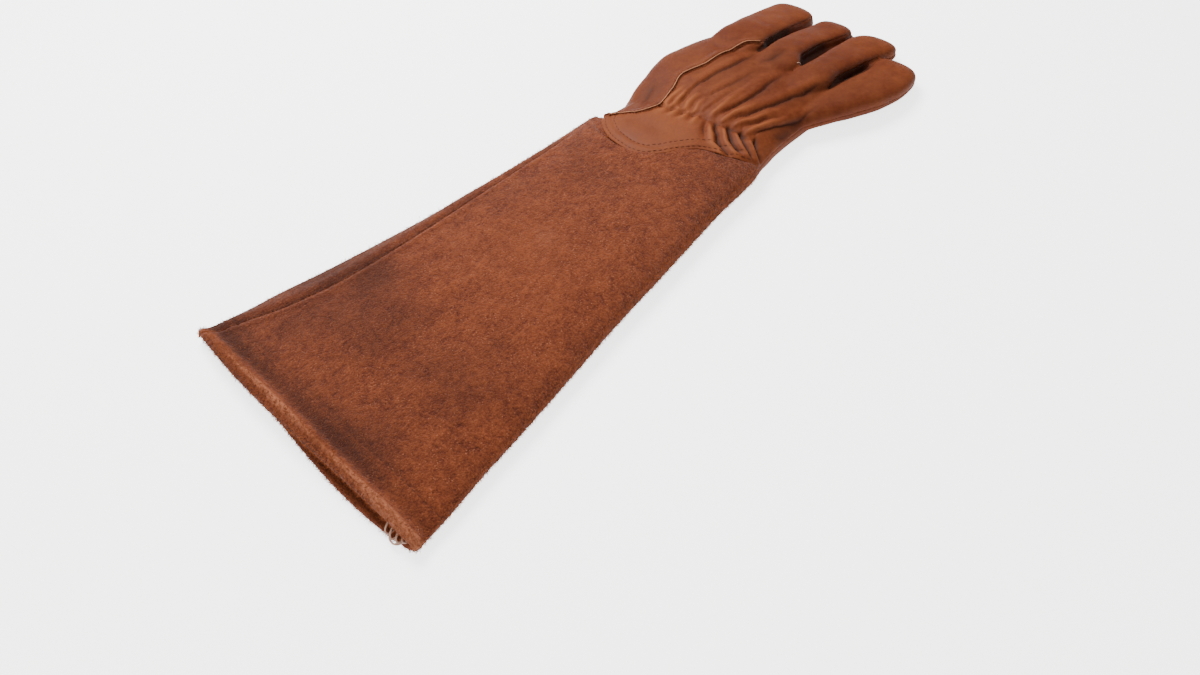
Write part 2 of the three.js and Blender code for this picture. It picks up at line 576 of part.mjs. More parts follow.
// Space of the strip that joins the facing sides of two fingers round their crotch, grown by gap
function fourchetteSpace(finger, next, gap) {
  const start = CROTCH_X - CROTCH_DEPTH - gap;
  const tip = CROTCH_X + Math.min(finger.reach, next.reach) * FINGER_LENGTH;
  const end = tip - STRIP_SETBACK * FINGERTIP_ROUND + gap;
  const half = FOURCHETTE_HEIGHT / 2 + gap;
  const stations = [start, ...SPLIT_STATIONS.filter((x) => x > start && x < end), end];
  return loft(stations.map((x) => {
    const right = gapY(finger, next, x) - FOURCHETTE_REACH - gap;
    const left = gapY(finger, next, x) + FOURCHETTE_REACH + gap;
    return [
      new THREE.Vector3(x, right, fingerHeight(next, x) - half),
      new THREE.Vector3(x, left, fingerHeight(finger, x) - half),
      new THREE.Vector3(x, left, fingerHeight(finger, x) + half),
      new THREE.Vector3(x, right, fingerHeight(next, x) + half),
    ];
  }));
}

function makePieces() {
  const outer = joined([bodyOuter(0), ...FINGERS.map((finger) => fingerSolid(finger, 0))]);
  const hollow = joined([
    bodyHollow(LEATHER, LEATHER, FAR),
    ...FINGERS.map((finger) => fingerSolid(finger, LEATHER)),
  ]);
  const shell = outer.subtract(hollow).intersect(pastLap(0));

  const fourchetteSpaces = FINGERS.slice(1).map((next, i) => (gap) => fourchetteSpace(FINGERS[i], next, gap));
  const strips = joined(fourchetteSpaces.map((space) => space(SEAM_GAP)));
  const thumbHollow = thumbSolid(LEATHER);
  const palmShell = shell.intersect(palmSpace(0)).subtract(strips).subtract(thumbHollow);
  const backShell = shell.subtract(palmSpace(SEAM_GAP)).subtract(strips);
  const thumb = thumbSolid(0).subtract(thumbHollow).subtract(bodyOuter(-SEAM_GAP));

  const underLeather = LEATHER + SEAM_GAP;
  const tongue = bodyOuter(underLeather).subtract(pastLap(LAP_WIDTH));
  const sleeve = bodyOuter(0).subtract(pastLap(-SEAM_GAP));
  const cuff = joined([sleeve, tongue])
    .subtract(bodyHollow(underLeather + SUEDE, SUEDE + HEM_TURN, FAR))
    .subtract(bodyHollow(SUEDE, SUEDE + HEM_TURN, CUFF_LENGTH - TONGUE_START * LAP_DROP));

  const pieces = { cuff, hand_back: backShell, palm: palmShell, thumb };
  fourchetteSpaces.forEach((space, i) => {
    pieces[`fourchette_${FINGERS[i].name}_${FINGERS[i + 1].name}`] = shell.intersect(space(0));
  });
  return pieces;
}

function meshOf(name, solid, material) {
  const { vertProperties, triVerts } = solid.getMesh();
  const geometry = new THREE.BufferGeometry();
  geometry.setAttribute('position', new THREE.BufferAttribute(vertProperties, 3));
  geometry.setIndex(new THREE.BufferAttribute(triVerts, 1));
  geometry.computeVertexNormals();
  const mesh = new THREE.Mesh(geometry, material);
  mesh.name = name;
  return mesh;
}

const LOOKS = {
  cuff: { color: 0x8a4526, roughness: 0.95, metalness: 0 },
  hand_back: { color: 0x9a5226, roughness: 0.5, metalness: 0 },
  palm: { color: 0x985026, roughness: 0.5, metalness: 0 },
  thumb: { color: 0x96502a, roughness: 0.5, metalness: 0 },
};
const STRIP_LOOK = { color: 0x7a3a1c, roughness: 0.55, metalness: 0 };

const gauntlet = new THREE.Group();
Object.entries(makePieces()).forEach(([name, solid]) => {
  gauntlet.add(meshOf(name, solid, new THREE.MeshStandardMaterial(LOOKS[name] ?? STRIP_LOOK)));
});

// The origin lies on the floor under the middle of the gauntlet
const box = new THREE.Box3().setFromObject(gauntlet);
const centre = box.getCenter(new THREE.Vector3());
gauntlet.position.set(-centre.x, -centre.y, -box.min.z);

export default gauntlet;
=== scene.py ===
"""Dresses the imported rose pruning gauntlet: a napped suede cuff and a gathered hand of smooth leather.

The forms are worked out in millimetres in the frame of the glove's pattern, where x runs from the cuff's
mouth to the fingertips and y to the thumb side, and are placed in metres in the frame of the CAD nodes.
"""

import logging
import math
from collections.abc import Callable, Sequence
from dataclasses import dataclass
from enum import Enum

import bmesh
import bpy
import numpy as np
from mathutils import Matrix, Vector, noise
from mathutils.bvhtree import BVHTree


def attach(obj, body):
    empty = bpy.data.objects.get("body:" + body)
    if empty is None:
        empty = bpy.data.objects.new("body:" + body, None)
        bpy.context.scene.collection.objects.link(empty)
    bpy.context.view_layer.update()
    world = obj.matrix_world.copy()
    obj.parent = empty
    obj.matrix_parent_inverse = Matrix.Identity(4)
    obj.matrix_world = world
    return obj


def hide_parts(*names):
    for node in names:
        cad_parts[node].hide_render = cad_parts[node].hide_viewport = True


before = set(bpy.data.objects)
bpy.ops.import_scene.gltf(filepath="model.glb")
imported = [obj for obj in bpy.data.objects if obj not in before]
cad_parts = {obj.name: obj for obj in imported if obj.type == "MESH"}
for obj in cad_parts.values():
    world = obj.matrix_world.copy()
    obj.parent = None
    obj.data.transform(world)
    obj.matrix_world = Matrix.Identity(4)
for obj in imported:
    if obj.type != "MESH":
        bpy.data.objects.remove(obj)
LOG = logging.getLogger("gauntlet")
Array = np.ndarray
Triples = tuple[tuple[float, float, float], ...]
BODY = "root"

# Where the pattern's origin lies in the frame of the CAD nodes, in metres, and one millimetre
ORIGIN = (-0.231929, 0.000139, 0.0)
MM = 0.001

# Sections of the cuff: share of its length, shares of the flare left and right, shares of the rise from
# mouth to wrist left and right, and the share of the side seam's inset.
CUFF_COLUMNS = "at left right rise_left rise_right seam"
CUFF_ROWS = (
    (0, 1, 1, -0.1, 0, 0.3),
    (0.086, 0.86, 0.918, -0.15, 0.15, 0.6),
    (0.172, 0.74, 0.81, 0, 0.25, 0.95),
    (0.26, 0.6, 0.718, 0.1, 0.35, 1),
    (0.4, 0.42, 0.56, 0.25, 0.45, 0.85),
    (0.54, 0.262, 0.393, 0.4, 0.6, 0.68),
    (0.7, 0.127, 0.24, 0.55, 0.75, 0.5),
    (0.845, 0.038, 0.094, 0.75, 0.85, 0.4),
    (0.924, 0, 0.02, 0.9, 0.94, 0.35),
    (0.945, -0.04, 0.01, 0.94, 0.96, 0.3),
    (0.966, -0.2, 0, 0.96, 0.98, 0.3),
)

# Sections of the hand: share of its length past the cuff, shares of the palm's half width, and shares of
# the hand's rise for the top, for the fold at the sides, and of the thumb's lift, thumb side first.
HAND_COLUMNS = "at left right rise_left rise_right fold_left fold_right lift_left lift_right"
HAND_ROWS = (
    (0, 0.97, 1.087, 0.83, 0.8, 0.34, 0.3, 0, 0),
    (0.062, 1.01, 1.063, 0.85, 0.8, 0.38, 0.3, 0.1, 0),
    (0.119, 1.07, 1.02, 0.9, 0.8, 0.44, 0.28, 0.35, 0),
    (0.175, 1.1, 0.987, 0.95, 0.8, 0.5, 0.28, 0.7, 0),
    (0.243, 1.15, 0.967, 1, 0.8, 0.56, 0.28, 1, 0),
    (0.316, 1.18, 0.962, 1, 0.8, 0.6, 0.28, 1, 0),
    (0.373, 1.15, 0.962, 0.99, 0.8, 0.6, 0.28, 1, 0),
    (0.43, 1.12, 0.98, 0.96, 0.76, 0.6, 0.3, 1, 0.1),
    (0.497, 1.07, 1.04, 0.9, 0.69, 0.6, 0.32, 1, 0.3),
    (0.57, 0.95, 1.08, 0.83, 0.6, 0.6, 0.34, 1, 0.5),
)

# Rows of stitches along the leather's edge over the suede, in millimetres from it
LAP_STITCHES = (2.4, 8.0)

# Edge of the leather over the suede: share of the palm's half width, share of the lap's drop to the mouth
LAP_COLUMNS = "y back"
LAP_ROWS = (
    (-1.6, -0.45),
    (-1.08, -0.4),
    (-0.93, -0.2),
    (-0.74, 0),
    (-0.5, 0.16),
    (-0.31, 0.45),
    (-0.17, 0.73),
    (0.0, 0.94),
    (0.2, 1.0),
    (0.45, 0.96),
    (0.84, 0.66),
    (0.94, 0.42),
    (1.02, 0.28),
    (1.6, 0.26),
)

# Raised seam of the wrapped palm panel on the back of the hand, in millimetres
WRAP_COLUMNS = "x y"
WRAP_ROWS = (
    (262, 54),
    (280, 43.7),
    (287.5, 30),
    (295, 25),
    (304, 23.6),
    (315, 25.4),
    (330, 30.1),
    (337, 28.6),
    (349, 25.8),
    (363, 25.9),
    (376, 24.1),
    (386, 21.6),
    (392, 17),
    (400, 16.6),
    (470, 16.6),
)

# Fingers at shares of the finger length past the crotch: axis and half width as shares of the finger
# width, height as share of the hand's rise
FINGER_COLUMNS = "at axis half height"


@dataclass(frozen=True)
class Sizes:
    """Named sizes of the glove in millimetres, the same as in the CAD source."""

    cuff_length: float = 290.0
    mouth_width: float = 200.0
    wrist_width: float = 118.0
    wrist_shift: float = 1.5
    mouth_rise: float = 13.0
    wrist_rise: float = 26.0
    suede: float = 2.0
    hem_width: float = 18.0
    hem_wall: float = 3.8
    upper_bow: float = 3.0
    lower_bow: float = 3.0
    upper_bow_skew: float = 0.9
    lower_bow_skew: float = -2.5
    bow_length: float = 90.0
    seam_inset: float = 19.0
    side_roll: float = 8.0
    cuff_fold_left: float = 0.4
    cuff_fold_right: float = 0.38
    mouth_boxiness: float = 3.0
    wrist_boxiness: float = 2.4
    hand_length: float = 177.0
    palm_width: float = 104.0
    hand_rise: float = 32.0
    leather: float = 1.5
    lap_drop: float = 34.0
    finger_length: float = 76.0
    finger_width: float = 30.0
    finger_thickness: float = 15.0
    fingertip_thickness: float = 12.6
    fingertip_round: float = 17.0
    fourchette_height: float = 7.0
    fourchette_reach: float = 11.0
    crotch_depth: float = 9.0
    thumb_length: float = 82.0
    thumb_width: float = 28.0
    thumb_thickness: float = 10.5
    thumb_start: float = 22.0
    seam_gap: float = 0.3

    @property
    def palm_half(self) -> float:
        """Half the width of the palm panel."""
        return self.palm_width / 2

    @property
    def crotch_x(self) -> float:
        """Where the fingers part."""
        return self.cuff_length + self.hand_length - self.finger_length

    @property
    def thumb_lift(self) -> float:
        """How far the thumb lifts the palm."""
        return self.thumb_thickness + 2 * self.seam_gap


SIZES = Sizes()


def lerp(a: float | Array, b: float | Array, t: float | Array) -> float | Array:
    """The value a share t of the way from a to b."""
    return a + (b - a) * t


def smoothstep(x: float | Array, low: float, high: float) -> Array:
    """0 below low, 1 above high and smooth between them."""
    t = np.clip((np.asarray(x, float) - low) / (high - low), 0, 1)
    return t * t * (3 - 2 * t)


def bump(distance: Array, width: float) -> Array:
    """A bell of height 1 that falls off over about width."""
    return np.exp(-((distance / width) ** 2))


def bell(x: Array, shape: tuple[float, float, float]) -> Array:
    """A bell given by its height, its middle and its width."""
    height, middle, width = shape
    return height * bump(x - middle, width)


class Table:
    """Rows of numbers with named columns, read smoothly along the first column without overshoot."""

    def __init__(self, columns: str, rows: Sequence[Sequence[float]]) -> None:
        """Keeps the rows under their column names.

        Args:
            columns: names of the columns, with spaces between them
            rows: one sequence of numbers for each row, in order of the first column
        """
        self.names = columns.split()
        self.values = np.array(rows, float)

    def read(self, column: str, at: float | Array) -> Array:
        """One column's value at places along the first column.

        Args:
            column: name of the column
            at: the places, in the first column's unit

        Returns:
            The values, in the shape of at.
        """
        xs = self.values[:, 0]
        ys = self.values[:, self.names.index(column)]
        slopes = np.diff(ys) / np.diff(xs)
        pairs = slopes[:-1] * slopes[1:]
        total = np.where(np.abs(slopes[:-1] + slopes[1:]) < 1e-12, 1, slopes[:-1] + slopes[1:])
        tangents = np.concatenate([slopes[:1], np.where(pairs > 0, 2 * pairs / total, 0), slopes[-1:]])
        at = np.clip(np.asarray(at, float), xs[0], xs[-1])
        i = np.clip(np.searchsorted(xs, at, side="right") - 1, 0, len(xs) - 2)
        span = xs[i + 1] - xs[i]
        t = (at - xs[i]) / span
        between = lerp(ys[i], ys[i + 1], t * t * (3 - 2 * t))
        return between + tangents[i] * span * t * (1 - t) ** 2 - tangents[i + 1] * span * t * t * (1 - t)


class Body:
    """The cuff and the hand without fingers, as one closed section at each x."""

    TOP_END, LEFT_END, BOTTOM_END = 0.5, 0.55, 0.95

    def __init__(self) -> None:
        """Works the tables of shares out in millimetres."""
        s = SIZES
        wrist_left = s.wrist_width / 2 + s.wrist_shift
        wrist_right = s.wrist_width / 2 - s.wrist_shift
        rows = []
        for at, left, right, rise_left, rise_right, seam in CUFF_ROWS:
            up_left = lerp(s.mouth_rise, s.wrist_rise, rise_left)
            up_right = lerp(s.mouth_rise, s.wrist_rise, rise_right)
            rows.append((
                at * s.cuff_length,
                lerp(wrist_left, s.mouth_width / 2, left),
                -lerp(wrist_right, s.mouth_width / 2, right),
                up_left, up_right, s.cuff_fold_left * up_left, s.cuff_fold_right * up_right,
                0, 0, seam * s.seam_inset,
            ))
        for row in HAND_ROWS:
            at, left, right = row[:3]
            rise_fold = [share * s.hand_rise for share in row[3:7]]
            lifts = [share * s.thumb_lift for share in row[7:]]
            rows.append((
                s.cuff_length + at * s.hand_length, left * s.palm_half, -right * s.palm_half,
                *rise_fold, *lifts, rows[len(CUFF_ROWS) - 1][-1],
            ))
        names = "x left right rise_left rise_right fold_left fold_right lift_left lift_right seam"
        self.rows = Table(names, rows)
        self.end = rows[-1][0]
        self.lap = Table(LAP_COLUMNS, LAP_ROWS)

    def lap_x(self, y: Array) -> Array:
        """X of the leather's edge over the suede, at y."""
        return SIZES.cuff_length - self.lap.read("back", y / SIZES.palm_half) * SIZES.lap_drop

    def ring(self, x: Array, u: Array, inset: Array) -> Array:
        """Points on the sections.

        Args:
            x: place of each section along the glove
            u: place round the section, 0 to 1, over the top from the little finger's side, then back
            inset: how far each point lies inside the plain outside

        Returns:
            An array of points with a last axis of x, y and z.
        """
        s = SIZES
        x, u, inset = np.broadcast_arrays(np.asarray(x, float), u, inset)
        b = {name: self.rows.read(name, x) for name in self.rows.names[1:]}
        left, right = b["left"] - inset, b["right"] + inset
        middle, half = (left + right) / 2, (left - right) / 2
        lift_left, lift_right = b["lift_left"] + inset, b["lift_right"] + inset
        rise_left, rise_right = b["rise_left"] - inset, b["rise_right"] - inset
        fold_left = np.clip(b["fold_left"], lift_left + s.seam_gap, rise_left - s.seam_gap)
        fold_right = np.clip(b["fold_right"], lift_right + s.seam_gap, rise_right - s.seam_gap)
        boxiness = lerp(s.mouth_boxiness, s.wrist_boxiness, smoothstep(x, 0, s.cuff_length))
        side = np.sin((np.clip(u / self.TOP_END, 0, 1) - 0.5) * math.pi)
        over = (1 - np.abs(side) ** boxiness) ** (1 / boxiness)
        fold = lerp(fold_right, fold_left, (side + 1) / 2)
        top_z = fold + (lerp(rise_right, rise_left, (side + 1) / 2) - fold) * over
        roll = np.minimum(s.side_roll, half / 3)
        turn_left = np.clip((u - self.TOP_END) / (self.LEFT_END - self.TOP_END), 0, 1) * math.pi / 2
        turn_right = np.clip((1 - u) / (1 - self.BOTTOM_END), 0, 1) * math.pi / 2
        back = np.clip((u - self.LEFT_END) / (self.BOTTOM_END - self.LEFT_END), 0, 1)
        parts = [u < self.TOP_END, u < self.LEFT_END, u < self.BOTTOM_END]
        y = np.select(parts, [
            middle + half * side,
            left - roll * (1 - np.cos(turn_left)),
            lerp(left - roll, right + roll, back),
        ], right + roll * (1 - np.cos(turn_right)))
        z = np.select(parts, [
            top_z,
            lerp(fold_left, lift_left, np.sin(turn_left)),
            lerp(lift_left, lift_right, smoothstep(back, 0.3, 0.7)),
        ], lerp(fold_right, lift_right, np.sin(turn_right)))
        upper = np.select(parts, [over ** 0.5, 0 * u, 0 * u], 0 * u)
        across = 2 * y / s.mouth_width
        bow = lerp(s.lower_bow, s.upper_bow, upper)
        skew = lerp(s.lower_bow_skew, s.upper_bow_skew, upper)
        near_mouth = 1 - smoothstep(x, 0, s.bow_length)
        outwards = bow * (1 - across ** 2) * (1 + skew * across) * near_mouth
        return np.stack([x - outwards, y, z], axis=-1)


FORM = Body()


@dataclass(frozen=True)
class Finger:
    """One finger as ovals along its table of sections."""

    name: str
    reach: float
    rows: tuple[tuple[float, float, float, float], ...]
    feet: tuple[float, float]
    tip_power: float = 2.6
    tip_fullness: float = 0.42
    palm_power: float = 0.85
    finger_power: float = 0.62
    power_length: float = 20.0

    @property
    def table(self) -> Table:
        """The finger's sections in millimetres."""
        s = SIZES
        return Table(FINGER_COLUMNS, [
            (s.crotch_x + at * s.finger_length, axis * s.finger_width, half * s.finger_width, h * s.hand_rise)
            for at, axis, half, h in self.rows
        ])

    def ring(self, x: Array, u: Array) -> Array:
        """Points on the finger's outside.

        Args:
            x: place of each section
            u: place round the section, 0 to 1

        Returns:
            An array of points with a last axis of x, y and z.
        """
        s = SIZES
        tip = s.crotch_x + self.reach * s.finger_length
        round_start = tip - s.fingertip_round
        into = np.clip((x - round_start) / s.fingertip_round, 0, 1)
        half = self.table.read("half", x) * (1 - into ** self.tip_power) ** self.tip_fullness
        flat = lerp(s.finger_thickness, s.fingertip_thickness, smoothstep(x, s.crotch_x, round_start)) / 2
        thick = flat * np.sqrt(1 - into ** 3)
        axis, height = self.table.read("axis", x), self.table.read("height", x)
        past_palm = smoothstep(x, s.crotch_x - self.power_length, s.crotch_x)
        power = lerp(self.palm_power, self.finger_power, past_palm)
        return oval(x, u, axis, half, height, thick, power, self.feet)


def oval(x: Array, u: Array, axis: Array, half: Array, height: Array, thick: Array, power: float = 0.85,
         feet: tuple[float, float] = (0.0, 0.0)) -> Array:
    """Points on boxy ovals that lie flat on the floor.

    Args:
        x: place of each section
        u: place round the section, 0 to 1
        axis: y of the middle of each section
        half: half the width
        height: z of the middle
        thick: half the thickness
        power: 1 for an ellipse, less for a boxier oval
        feet: how much wider the lower half is, as a share, to the left and to the right

    Returns:
        An array of points with a last axis of x, y and z.
    """
    turn = 2 * math.pi * u
    across = np.sign(np.cos(turn)) * np.abs(np.cos(turn)) ** power
    up = np.sign(np.sin(turn)) * np.abs(np.sin(turn)) ** power
    across = across * (1 + np.where(across > 0, *feet) * smoothstep(-up, -0.1, 0.6))
    return np.stack([x + 0 * turn, axis + half * across, np.maximum(height + thick * up, 0.05)], axis=-1)


FINGERS = (
    Finger("index", 0.99, (
        (-0.5, 1.14, 0.52, 0.56), (0, 1.06, 0.6, 0.67), (0.2, 1.13, 0.53, 0.61),
        (0.45, 1.165, 0.53, 0.5), (0.72, 1.19, 0.55, 0.36), (1, 1.18, 0.56, 0.25)), (0.0, 0.1)),
    Finger("middle", 1.0, (
        (-0.5, 0.15, 0.4, 0.56), (0, -0.08, 0.51, 0.62), (0.2, 0.07, 0.4, 0.56),
        (0.45, 0.1, 0.39, 0.46), (0.72, 0.06, 0.43, 0.33), (1, 0, 0.48, 0.23)), (0.1, 0.42)),
    Finger("ring", 1.03, (
        (-0.5, -0.65, 0.37, 0.5), (0, -0.99, 0.42, 0.56), (0.2, -0.96, 0.38, 0.5),
        (0.45, -0.96, 0.43, 0.42), (0.72, -0.98, 0.48, 0.32), (1, -1.14, 0.53, 0.24)), (0.42, 0.1)),
    Finger("little", 0.82, (
        (-0.5, -1.27, 0.35, 0.34), (0, -1.84, 0.47, 0.38), (0.2, -1.96, 0.54, 0.35),
        (0.45, -2.03, 0.56, 0.3), (0.72, -1.96, 0.55, 0.25), (1, -1.85, 0.53, 0.21)), (0.1, 0.0)),
)


def gap_y(i: int, x: Array) -> Array:
    """Y of the middle of the gap between finger i and the next one."""
    here, after = FINGERS[i].table, FINGERS[i + 1].table
    low = here.read("axis", x) - here.read("half", x)
    return (low + after.read("axis", x) + after.read("half", x)) / 2


def soft_noise(points: Array, wave: float, seed: float) -> Array:
    """Smooth noise from -1 to 1 at each point.

    Args:
        points: x, y and z in millimetres
        wave: length of its waves in millimetres
        seed: shifts the pattern

    Returns:
        One number for each point.
    """
    flat = points.reshape(-1, 3) / wave + seed
    return np.array([noise.noise(Vector(p)) for p in flat]).reshape(points.shape[:-1])


def layered_noise(points: Array, layers: Triples) -> Array:
    """The sum of several smooth noises at each point.

    Args:
        points: x, y and z in millimetres
        layers: height, length of the waves in millimetres and seed of each noise

    Returns:
        One number for each point.
    """
    return sum(height * soft_noise(points, wave, seed) for height, wave, seed in layers)


def polyline_distance(x: Array, y: Array, line: Sequence[tuple[float, float]]) -> tuple[Array, Array]:
    """Distance from points to a line of straight stretches.

    Args:
        x: x of the points
        y: y of the points
        line: the corners of the line

    Returns:
        The signed distance, positive on the line's left, and the share of the line's length at the
        nearest point.
    """
    corners = np.array(line, float)
    lengths = np.hypot(*np.diff(corners, axis=0).T)
    starts = np.concatenate([[0], np.cumsum(lengths)])
    best = np.full(x.shape, 1e9)
    signed = np.zeros(x.shape)
    share = np.zeros(x.shape)
    for i, length in enumerate(lengths):
        along = (corners[i + 1] - corners[i]) / length
        dx, dy = x - corners[i, 0], y - corners[i, 1]
        t = np.clip(dx * along[0] + dy * along[1], 0, length)
        away = np.hypot(dx - t * along[0], dy - t * along[1])
        nearer = away < best
        best = np.where(nearer, away, best)
        signed = np.where(nearer, np.copysign(away, along[0] * dy - along[1] * dx), signed)
        share = np.where(nearer, (starts[i] + t) / starts[-1], share)
    return signed, share


def smooth_line(line: Sequence[tuple[float, float]], passes: int = 2) -> list[tuple[float, float]]:
    """The line with its corners cut, as often as passes says."""
    points = np.array(line, float)
    for _ in range(passes):
        first = lerp(points[:-1], points[1:], 0.25)
        second = lerp(points[:-1], points[1:], 0.75)
        inner = np.stack([first, second], axis=1).reshape(-1, 2)
        points = np.concatenate([points[:1], inner[1:-1], points[-1:]])
    return [tuple(p) for p in points]


class FoldKind(Enum):
    """Whether a fold stands up or is drawn in, and how its section is shaped."""

    RIB = 1
    CREASE = -1


@dataclass(frozen=True)
class Fold:
    """One rib or crease of the gathered leather, along a line seen from above.

    It rises over the share start of its line and fades over the share fade. A ridge runs beside it, as
    a share of its height, on the left where it is positive.
    """

    kind: FoldKind
    height: float
    width: float
    line: tuple[tuple[float, float], ...]
    start: float = 0.08
    fade: float = 0.45
    ridge: float = 0.0

    def relief(self, x: Array, y: Array) -> Array:
        """Height that the fold gives to points seen from above.

        Args:
            x: x of the points
            y: y of the points

        Returns:
            The height in millimetres.
        """
        signed, share = polyline_distance(x, y, smooth_line(self.line))
        along = smoothstep(share, -0.02, self.start) * (1 - smoothstep(share, 1 - self.fade, 1.0))
        ends = np.where((share <= 0) | (share >= 1), bump(np.abs(signed), 0.7 * self.width), 1)
        width = self.width * lerp(0.8, 1.5, share)
        if self.kind is FoldKind.RIB:
            section = bump(signed, width)
        else:
            section = np.exp(-np.abs(signed) / (0.8 * width))
        if self.ridge:
            side = math.copysign(1.0, self.ridge)
            section = section - abs(self.ridge) * bump(signed - side * 2.3 * width, 1.9 * width)
        return self.kind.value * self.height * section * np.maximum(along, 0.25 * (share <= 0)) * ends


RIB, CREASE = FoldKind.RIB, FoldKind.CREASE
FOLDS = (
    # From the elastic to the knuckles: ribs with round bright tips
    Fold(RIB, 1.2, 1.9, ((302.8, 22.4), (312, 21.4), (328, 19.6)), fade=0.8),
    Fold(RIB, 1.2, 1.7, ((303.4, 16.6), (311, 17.2), (322, 17.6)), fade=0.8),
    Fold(RIB, 1.1, 1.8, ((305.2, 7.9), (314, 9.5), (330, 9.5)), fade=0.8),
    Fold(RIB, 1.0, 1.6, ((307.0, 1.0), (316, 3.0), (328, 3.5)), fade=0.8),
    Fold(RIB, 1.1, 2.0, ((310.4, -8.6), (320, -9.6), (336, -9), (356, -9.5), (380, -12)), fade=0.75),
    Fold(RIB, 1.1, 1.9, ((311.4, -17.4), (322, -19.2), (338, -22.5), (356, -26)), fade=0.7),
    Fold(RIB, 1.1, 1.9, ((313.4, -25.6), (324, -28.5), (338, -33.5), (356, -38)), fade=0.7),
    Fold(RIB, 1.2, 2.0, ((315.4, -34.8), (324, -36.5), (338, -41), (352, -45.5)), fade=0.7),
    # Creases that run on to the roots of the fingers, each with a ridge on its thumb side
    Fold(CREASE, 0.9, 1.2, ((304, 19.6), (314, 19.2), (326, 18.8), (340, 17.2)), fade=0.7, ridge=0.4),
    Fold(CREASE, 1.4, 1.4,
         ((305.5, 13.2), (318, 14.6), (333, 15.6), (348, 13.4), (362, 11.2), (376, 11.4), (388, 13)),
         fade=0.3, ridge=0.45),
    Fold(CREASE, 0.8, 1.3, ((307.5, 4.4), (316, 5.6), (330, 1.6), (346, -1.5), (362, -3), (378, -4)),
         fade=0.6, ridge=0.4),
    Fold(CREASE, 0.7, 1.2, ((310, -3.6), (320, -4.4), (334, -5.6), (348, -7)), fade=0.7, ridge=0.5),
    Fold(CREASE, 1.5, 1.3,
         ((312.6, -12.6), (322, -14.8), (334, -16.6), (350, -17.6), (368, -17.2), (384, -17.6)),
         start=0.16, fade=0.45, ridge=0.45),
    Fold(CREASE, 1.6, 1.3,
         ((314.2, -21.4), (326, -24.6), (340, -29.2), (356, -33), (374, -38), (390, -41.6)),
         start=0.16, fade=0.25, ridge=0.5),
    Fold(CREASE, 1.2, 1.3, ((316.2, -30.0), (328, -33.8), (342, -39), (356, -43)),
         start=0.2, fade=0.6, ridge=0.4),
    Fold(CREASE, 1.7, 1.3, ((317.6, -38.4), (326, -40), (340, -44), (356, -48), (372, -50)),
         start=0.16, fade=0.5, ridge=0.5),
    # From the elastic towards the suede: short pleats, steep at the little finger's side
    Fold(RIB, 0.8, 1.5, ((305, 20), (298, 19), (290, 21)), fade=0.7),
    Fold(RIB, 1.0, 1.6, ((306, 12.6), (300, 11), (291, 12)), fade=0.7),
    Fold(RIB, 1.0, 1.5, ((307, 4.6), (301, 3.5), (293, 3)), fade=0.7),
    Fold(RIB, 1.1, 1.5, ((308, -3.0), (301, -5), (294, -7)), fade=0.7),
    Fold(RIB, 1.5, 2.1, ((306.5, -11.6), (301, -18.6), (294, -26.5), (290, -35), (289, -43)),
         start=0.25, fade=0.25),
    Fold(RIB, 1.7, 2.0, ((309.6, -20.6), (304.4, -26.6), (299, -34.4), (296, -42), (296, -49)),
         start=0.2, fade=0.25),
    Fold(RIB, 1.7, 1.9, ((312, -29.8), (307.6, -35.6), (303.4, -43), (301.4, -51)), start=0.2, fade=0.25),
    Fold(RIB, 1.5, 1.7, ((315, -38.4), (312.4, -43.4), (308.6, -49.6), (305.6, -55)),
         start=0.2, fade=0.25),
    Fold(CREASE, 1.0, 1.0, ((306, 16), (299, 15), (292, 16.4)), fade=0.7, ridge=-0.3),
    Fold(CREASE, 1.2, 1.1, ((307, 8.4), (300, 7), (293, 7.6)), fade=0.7, ridge=-0.3),
    Fold(CREASE, 1.2, 1.1, ((308.6, 0.6), (302, -0.8), (295, -2)), fade=0.7, ridge=-0.3),
    Fold(CREASE, 2.1, 1.2, ((311, -6.4), (303.4, -11.4), (295, -18.6), (289.6, -26)),
         start=0.4, fade=0.55),
    Fold(CREASE, 2.8, 1.6,
         ((313, -13.6), (306.4, -17), (300.6, -23.4), (294.6, -31), (292.2, -38.6), (292, -46)),
         start=0.24, fade=0.3),
    Fold(CREASE, 3.0, 1.6, ((314.6, -22.2), (309.4, -25.4), (304.6, -31), (300, -38.6), (298.4, -48)),
         start=0.24, fade=0.3),
    Fold(CREASE, 3.0, 1.6, ((316.6, -31.2), (312.4, -34), (308.4, -39.4), (304.6, -46.4), (303, -53.6)),
         start=0.26, fade=0.3),
    Fold(CREASE, 2.7, 1.5, ((319.4, -39.4), (316.4, -42.6), (313, -47), (309.4, -52), (307.6, -57)),
         start=0.26, fade=0.3),
    # The line of the elastic, which nips the ribs off at their tips
    Fold(CREASE, 1.1, 1.5,
         ((299.6, 27), (301, 21), (302.4, 14), (303.6, 6), (306, -2), (308.4, -9), (309.6, -18),
          (311.6, -26.5), (313.6, -35.5), (316, -42)),
         start=0.1, fade=0.1),
    # Long soft folds over the knuckles, by the wrapped seam and on the turned side by the little finger
    Fold(CREASE, 0.9, 3.4, ((372, 3), (386, -2), (402, -2)), start=0.4, fade=0.5),
    Fold(CREASE, 0.9, 3.0, ((324, -46), (344, -51.5), (366, -54)), start=0.3, fade=0.4),
    Fold(CREASE, 0.8, 4.0, ((292, 33), (306, 38), (322, 45)), start=0.4, fade=0.5),
)


def add_piece(name: str, mesh: bpy.types.Mesh, smooth: bool = True) -> bpy.types.Object:
    """Adds an object of the mesh to the scene.

    Args:
        name: the object's name
        mesh: its mesh
        smooth: whether its faces are shaded smooth

    Returns:
        The object.
    """
    piece = bpy.data.objects.new(name, mesh)
    bpy.context.scene.collection.objects.link(piece)
    mesh.polygons.foreach_set("use_smooth", [smooth] * len(mesh.polygons))
    return piece


